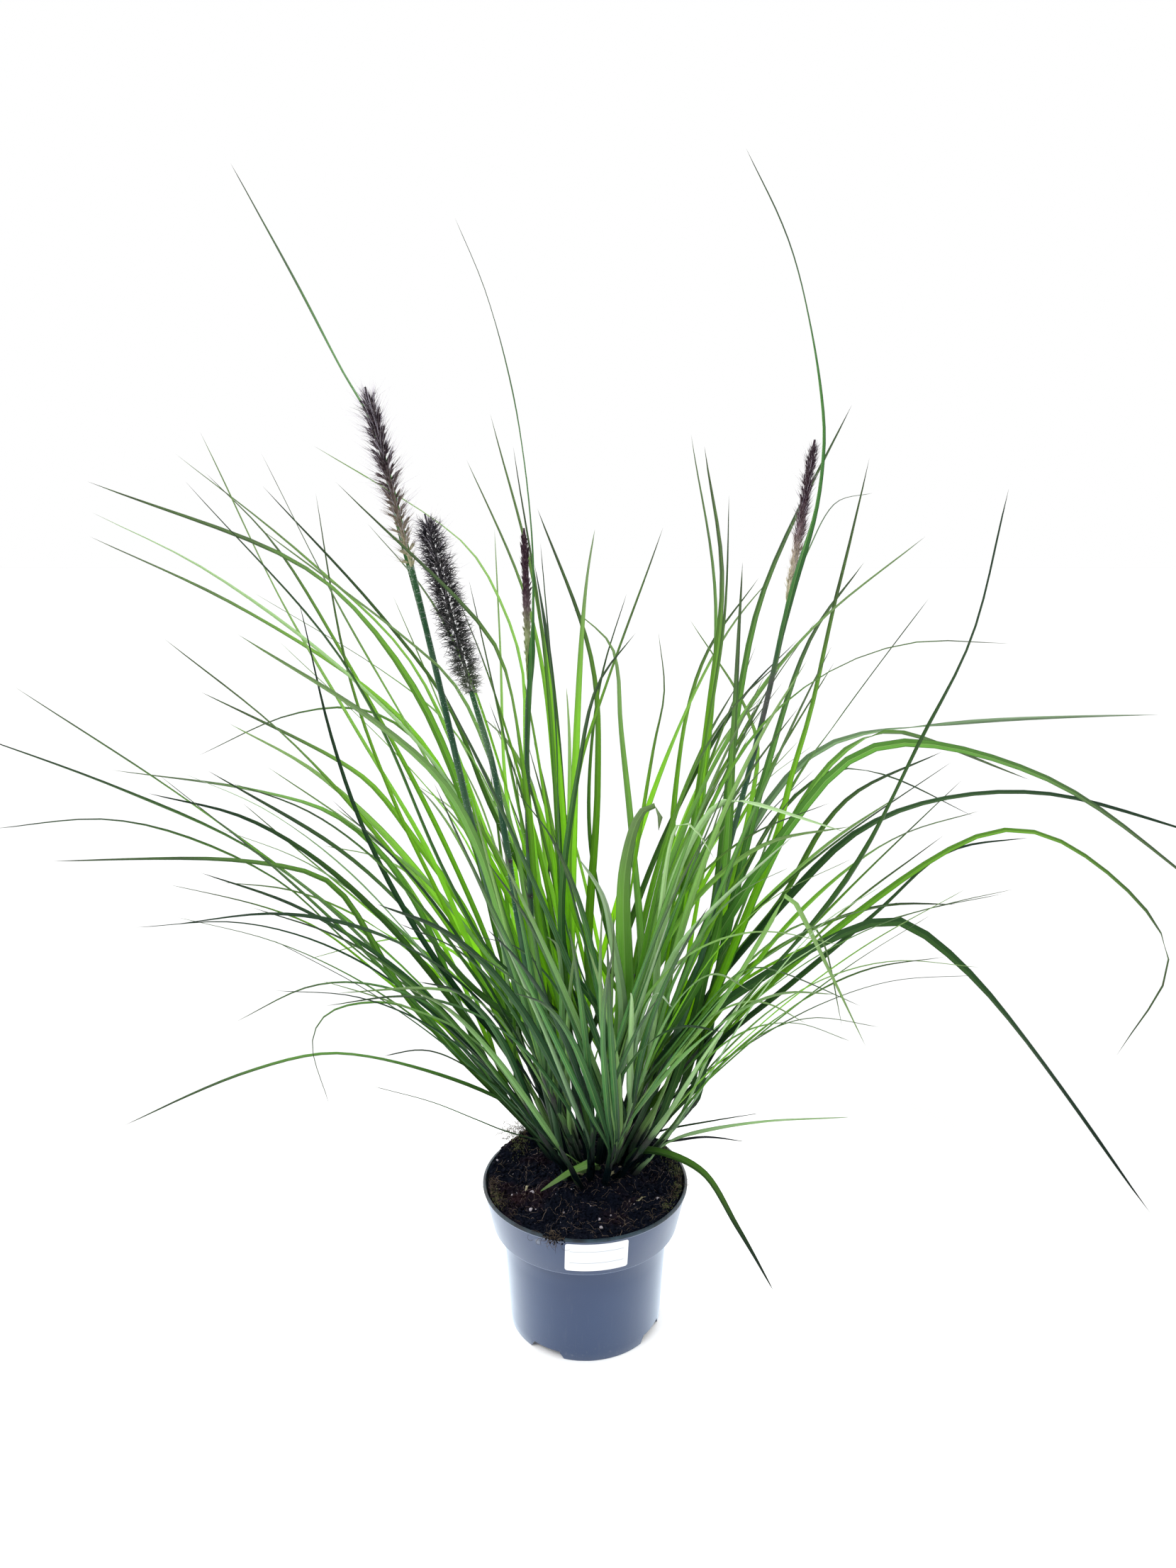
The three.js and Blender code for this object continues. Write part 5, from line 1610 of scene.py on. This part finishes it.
def culm_green():
    finish = Finish("flowering stem", Specular_IOR_Level=0.12)
    green = finish.ramp(finish.attribute("along"), (0, 26, 40, 30), (0.35, 50, 86, 52), (0.6, 32, 66, 46),
                        (0.85, 22, 56, 36), (1, 30, 66, 36))
    streaks = finish.noise(120, 3, (1, 1, 0.12))
    knot = finish.attribute("sheath")
    green = finish.coats(green, (streaks.between(0.4, 0.7) * 0.4, (92, 116, 88)), (knot, (44, 32, 40)))
    finish.set(Base_Color=green, Roughness=streaks * 0.2 + 0.38)
    finish.bump(streaks, 0.1)
    return finish


CULM_FINISH = culm_green()


def culm_shape(plan, path):
    shape = with_layers(*BLADE_LAYERS)
    knots = [share * path.length for share in plan["knots"]]

    def knot(distance):
        return max(exp(-((distance - at) / (1.8 * MM)) ** 2) for at in knots)

    def radii(distance):
        plain = blend(*CULM_RADIUS, distance / path.length) * plan["stout"] * MM
        sheathed = 0.6 * MM * max(smooth(distance, at, at + 6 * MM) for at in knots)
        bare = 0.75 * MM * smooth(distance, path.length - 22 * MM, path.length - 8 * MM)
        return plain * 0.86 + sheathed - bare * plan["slim"] + 0.4 * MM * knot(distance)

    made = tube(shape, path, radii, 10, 3.2 * MM, sheath=0.0, across=0.5, tint=0.2, tone=0.3)
    layers = shape.verts.layers.float
    for vert in made:
        vert[layers["sheath"]] = knot(vert[layers["along"]] * path.length)
    return merged(shape)


def culm_leaves(plan, path):
    """Flag leaves: the sheath hugs the culm, and the blade passes the points of its plan."""
    shape = with_layers(*BLADE_LAYERS)
    for width, share, through in plan["leaves"]:
        root = path.length * share
        free = path.length * (share + LEAF_FREE)
        points = [path.at(root - back * MM) for back in (70, 45, 20)]
        points += [path.at(root), path.at(free), *(millimetres(*point) for point in through)]
        leaf = Path(points)
        collar = leaf.knots[4]
        tangent = path.direction(root)
        outward = points[6] - points[4]
        outward -= tangent * outward.dot(tangent)
        inner = -outward.normalized()
        flat = Vector((points[-1].x - points[3].x, points[-1].y - points[3].y, 0)).normalized()
        ups = [(0, inner), (collar, inner), (leaf.knots[6], (UP * 0.6 - flat).normalized()),
               (leaf.length, (UP - flat * 0.4).normalized())]
        lay_leaf(shape, leaf, collar, ups, width * MM, 2.0 * MM, (0.72, 0.35), count=30)
    return merged(shape)


def culm_hairs(plan, path):
    """Short pale hairs on the last stretch below the spike."""
    plans = []
    for _ in range(plan["hairs"]):
        distance = path.length - HAIRY_REACH * GROWTH.random() ** 1.4
        tangent = path.direction(distance)
        out = Quaternion(tangent, GROWTH.uniform(0, tau)) @ tangent.orthogonal().normalized()
        foot = path.at(distance) + out * 1.4 * MM
        aim = (out + tangent * GROWTH.uniform(-0.3, 1.2)).normalized() * GROWTH.uniform(1.6, 3.4) * MM
        bow = tangent * 0.3 * MM
        plans.append(([foot, foot + aim * 0.6 + bow, foot + aim], 0.09 * MM, 0.05 * MM))
    return gathered(thread, plans)


HAIR = two_tones("pale hair", 90, (176, 186, 176), (226, 230, 226), detail=2, Roughness=0.5)
culm_paths = [culm_path(plan) for plan in CULMS]
for number, (plan, path) in enumerate(zip(CULMS, culm_paths), 1):
    finished(f"culm_{number}_stem", culm_shape(plan, path), [CULM_FINISH], [f"culm_{number}"])
    finished(f"culm_{number}_hairs", culm_hairs(plan, path), [HAIR])
    if plan["leaves"]:
        finished(f"culm_{number}_leaves", culm_leaves(plan, path), [LEAF])

# %% [markdown]
# ## Flower spikes
#
# A fountain grass flowers in a bristly cylinder. From a thin axis stand tufts, one after the other round
# it, each with a few pointed spikelets, stiff bristles and some long silky hairs. The four spikes are of
# four ages, and only numbers tell them apart: how far the tufts stand out at five places between foot and
# tip, how long and how kinked the bristles are, and the colours on the way up. The second is the oldest:
# its tufts stand straight out like a bottle brush, black and ruffled.

# %% Flower spikes
SPIKE_SHARES = (0, 0.12, 0.5, 0.85, 1)
SLIGHT_STRAY = (0.14, 0.17, 0.17, 0.17, 0.17)  # in the two smooth spikes the bristles lie close
SPIKES = [
    {"tip": (-150, -20, 752), "core": 2.0, "stalk": 0, "tufts": 110, "crowd": 0.74,
     "fullness": (0.46, 0.77, 1, 1, 0.4), "lean": (36, 48, 50, 30, 10), "stray": (0.1, 0.11, 0.13, 0.2, 0.2),
     "grains": 3, "grain": 8.5, "bristles": 8, "length": (9, 16), "thick": 0.18, "kink": 0.2,
     "hairs": 4, "hair": (16, 25), "bleach": 0.35,
     "colours": ((0, 146, 144, 112), (0.22, 108, 98, 80), (0.45, 74, 62, 60), (0.62, 40, 29, 37),
                 (1, 30, 21, 30))},
    {"tip": (-107, -60, 669), "core": 1.6, "stalk": 1.4, "tufts": 262, "crowd": 0.86,
     "fullness": (0.2, 0.8, 1, 0.9, 0.45), "lean": (66, 78, 80, 62, 18),
     "stray": (0.5, 0.35, 0.24, 0.22, 0.2), "grains": 1, "grain": 6, "bristles": 8, "length": (8.5, 16.5),
     "thick": 0.27, "kink": 1.0, "hairs": 1, "hair": (16, 24), "bleach": 0.22,
     "colours": ((0, 92, 102, 82), (0.2, 46, 52, 48), (0.5, 29, 33, 34), (0.8, 30, 30, 36),
                 (1, 34, 31, 42))},
    {"tip": (-44, 0, 657), "core": 3.0, "stalk": 0, "tufts": 130, "crowd": 0.85,
     "fullness": (0.5, 0.7, 1, 0.9, 0.3), "lean": (7, 9, 11, 11, 8), "stray": SLIGHT_STRAY,
     "grains": 2, "grain": 5.5, "bristles": 4, "length": (5, 7.5), "thick": 0.15, "kink": 0.1,
     "hairs": 0, "hair": (8, 10), "bleach": 0.25,
     "colours": ((0, 104, 130, 62), (0.3, 122, 132, 92), (0.48, 84, 68, 74), (0.6, 44, 22, 36),
                 (1, 40, 22, 32))},
    {"tip": (162, 0, 718), "core": 2.7, "stalk": 0, "tufts": 150, "crowd": 0.85,
     "fullness": (0.5, 0.7, 1, 0.9, 0.35), "lean": (7, 13, 22, 19, 10), "stray": SLIGHT_STRAY,
     "grains": 2, "grain": 6, "bristles": 7, "length": (7, 12), "thick": 0.15, "kink": 0.15,
     "hairs": 1, "hair": (11, 16), "bleach": 0.3,
     "colours": ((0, 174, 170, 138), (0.25, 162, 152, 132), (0.42, 98, 80, 84), (0.62, 46, 27, 38),
                 (1, 40, 24, 36))},
]
GOLDEN_TURN = radians(137.508)
BLOOM = random.Random(5)
SPIKE_LAYERS = ("along", "part")
CORE_PART, GRAIN_PART, BRISTLE_PART, HAIR_PART = 0, 0.5, 1, 3
LAST_TUFT = 0.93  # the last tuft's own length makes up the rest


def between_shares(values, share):
    """A number that is given at the five places of a spike, at any share of its length."""
    for i in range(4):
        if share <= SPIKE_SHARES[i + 1]:
            part = (share - SPIKE_SHARES[i]) / (SPIKE_SHARES[i + 1] - SPIKE_SHARES[i])
            return blend(values[i], values[i + 1], part)
    return values[-1]


def spike_path(plan, culm):
    end, tangent = culm.points[-1], culm.direction(culm.length)
    tip = millimetres(*plan["tip"])
    middle = end.lerp(tip, 0.5) + tangent * 3 * MM
    return Path([end - tangent * 4 * MM, middle, tip], 40)


def grain(shape, foot, aim, long, share):
    """A spikelet: a slim pointed seed."""
    side = aim.orthogonal().normalized()
    up = aim.cross(side)
    profile = ((0, 0), (0.3, 1), (0.75, 0.7), (1, 0))
    rows = [circle_row(foot + aim * long * along, side, up, 0.11 * long * fat, 4) for along, fat in profile]
    wrapped(shape, rows, {"along": share, "part": lambda row, column: GRAIN_PART + 0.1 * row})


def bristle(shape, foot, aim, long, thick, kink, share, part):
    """A stiff hair with a bend at two places."""
    side = aim.orthogonal().normalized()
    up = aim.cross(side)
    points = [foot]
    heading = aim
    for _ in range(3):
        points.append(points[-1] + heading * long / 3)
        heading = (heading + (side * BLOOM.gauss(0, 0.6) + up * BLOOM.gauss(0, 0.6)) * kink).normalized()
    rows = [circle_row(point, side, up, thick * fat, 3) for point, fat in zip(points, (0, 1, 0.7, 0))]
    wrapped(shape, rows, {"along": share, "part": lambda row, column: part + row / 3})


def strayed(aim, most):
    return (aim + Vector((BLOOM.gauss(0, 1), BLOOM.gauss(0, 1), BLOOM.gauss(0, 1))) * most).normalized()


def tuft(shape, plan, path, number):
    """One tuft: spikelets, the bristles round them, and long hairs."""
    share = blend(0.015, LAST_TUFT, ((number + 0.5) / plan["tufts"]) ** plan["crowd"])
    distance = share * path.length
    tangent = path.direction(distance)
    turn = number * GOLDEN_TURN + BLOOM.gauss(0, 0.25)
    out = Quaternion(tangent, turn) @ tangent.orthogonal().normalized()
    full = between_shares(plan["fullness"], share)
    lean = radians(between_shares(plan["lean"], share) + BLOOM.gauss(0, 6))
    aim = tangent * cos(lean) + out * sin(lean)
    foot = path.at(distance) + out * plan["core"] * 0.6 * full * MM
    if plan["stalk"]:
        long = plan["stalk"] * full * BLOOM.uniform(0.5, 1.1) * MM
        bristle(shape, foot, aim, long * 1.1, 0.16 * MM, 0.1, share, BRISTLE_PART)
        foot += aim * long
    young = blend(0.5, 1, full)
    for _ in range(plan["grains"]):
        grain(shape, foot, strayed(aim, 0.1), plan["grain"] * BLOOM.uniform(0.8, 1.15) * young * MM, share)
    for _ in range(plan["bristles"]):
        long = BLOOM.uniform(*plan["length"]) * young * MM
        aside = strayed(aim, between_shares(plan["stray"], share))
        bristle(shape, foot, aside, long, plan["thick"] * MM, plan["kink"], share, BRISTLE_PART)
    for _ in range(plan["hairs"]):
        long = BLOOM.uniform(*plan["hair"]) * young * MM
        bristle(shape, foot, strayed(aim, 0.2), long, 0.085 * MM, 0.1, share, HAIR_PART)


def spike_shape(plan, path):
    """The tufts and the axis that they stand on."""
    core = plan["core"] * 0.8 * MM

    def radii(distance):
        return core * between_shares(plan["fullness"], distance / path.length)

    shape = gathered(tuft, [(plan, path, number) for number in range(plan["tufts"])], SPIKE_LAYERS)
    tube(shape, path, radii, 8, 4 * MM, part=CORE_PART)
    return merged(shape)


def spike_colour(number, plan):
    finish = Finish(f"spike {number}", Roughness=0.65, Specular_IOR_Level=0.12)
    part = finish.attribute("part")
    # The pale flecks are partly painted highlights, for the glints of light between the grains, and partly
    # the spike's own paler colour; the bristles also pale towards their tips.
    flecks_and_glints = finish.noise(420, 3)
    finish.set(Base_Color=finish.coats(
        finish.ramp(finish.attribute("along"), *plan["colours"]),
        (flecks_and_glints.between(0.5, 0.72) * plan["bleach"], (150, 140, 138)),
        (part.between(1.5, 2.0) * plan["bleach"], (158, 148, 150)),
        (part.between(2.6, 2.9), (178, 172, 184)),
    ))
    finish.bump(flecks_and_glints, 0.05)
    return finish


for number, (plan, culm) in enumerate(zip(SPIKES, culm_paths), 1):
    finish = spike_colour(number, plan)
    shape = spike_shape(plan, spike_path(plan, culm))
    finished(f"spike_{number}_bristles", shape, [finish], [f"spike_{number}"])
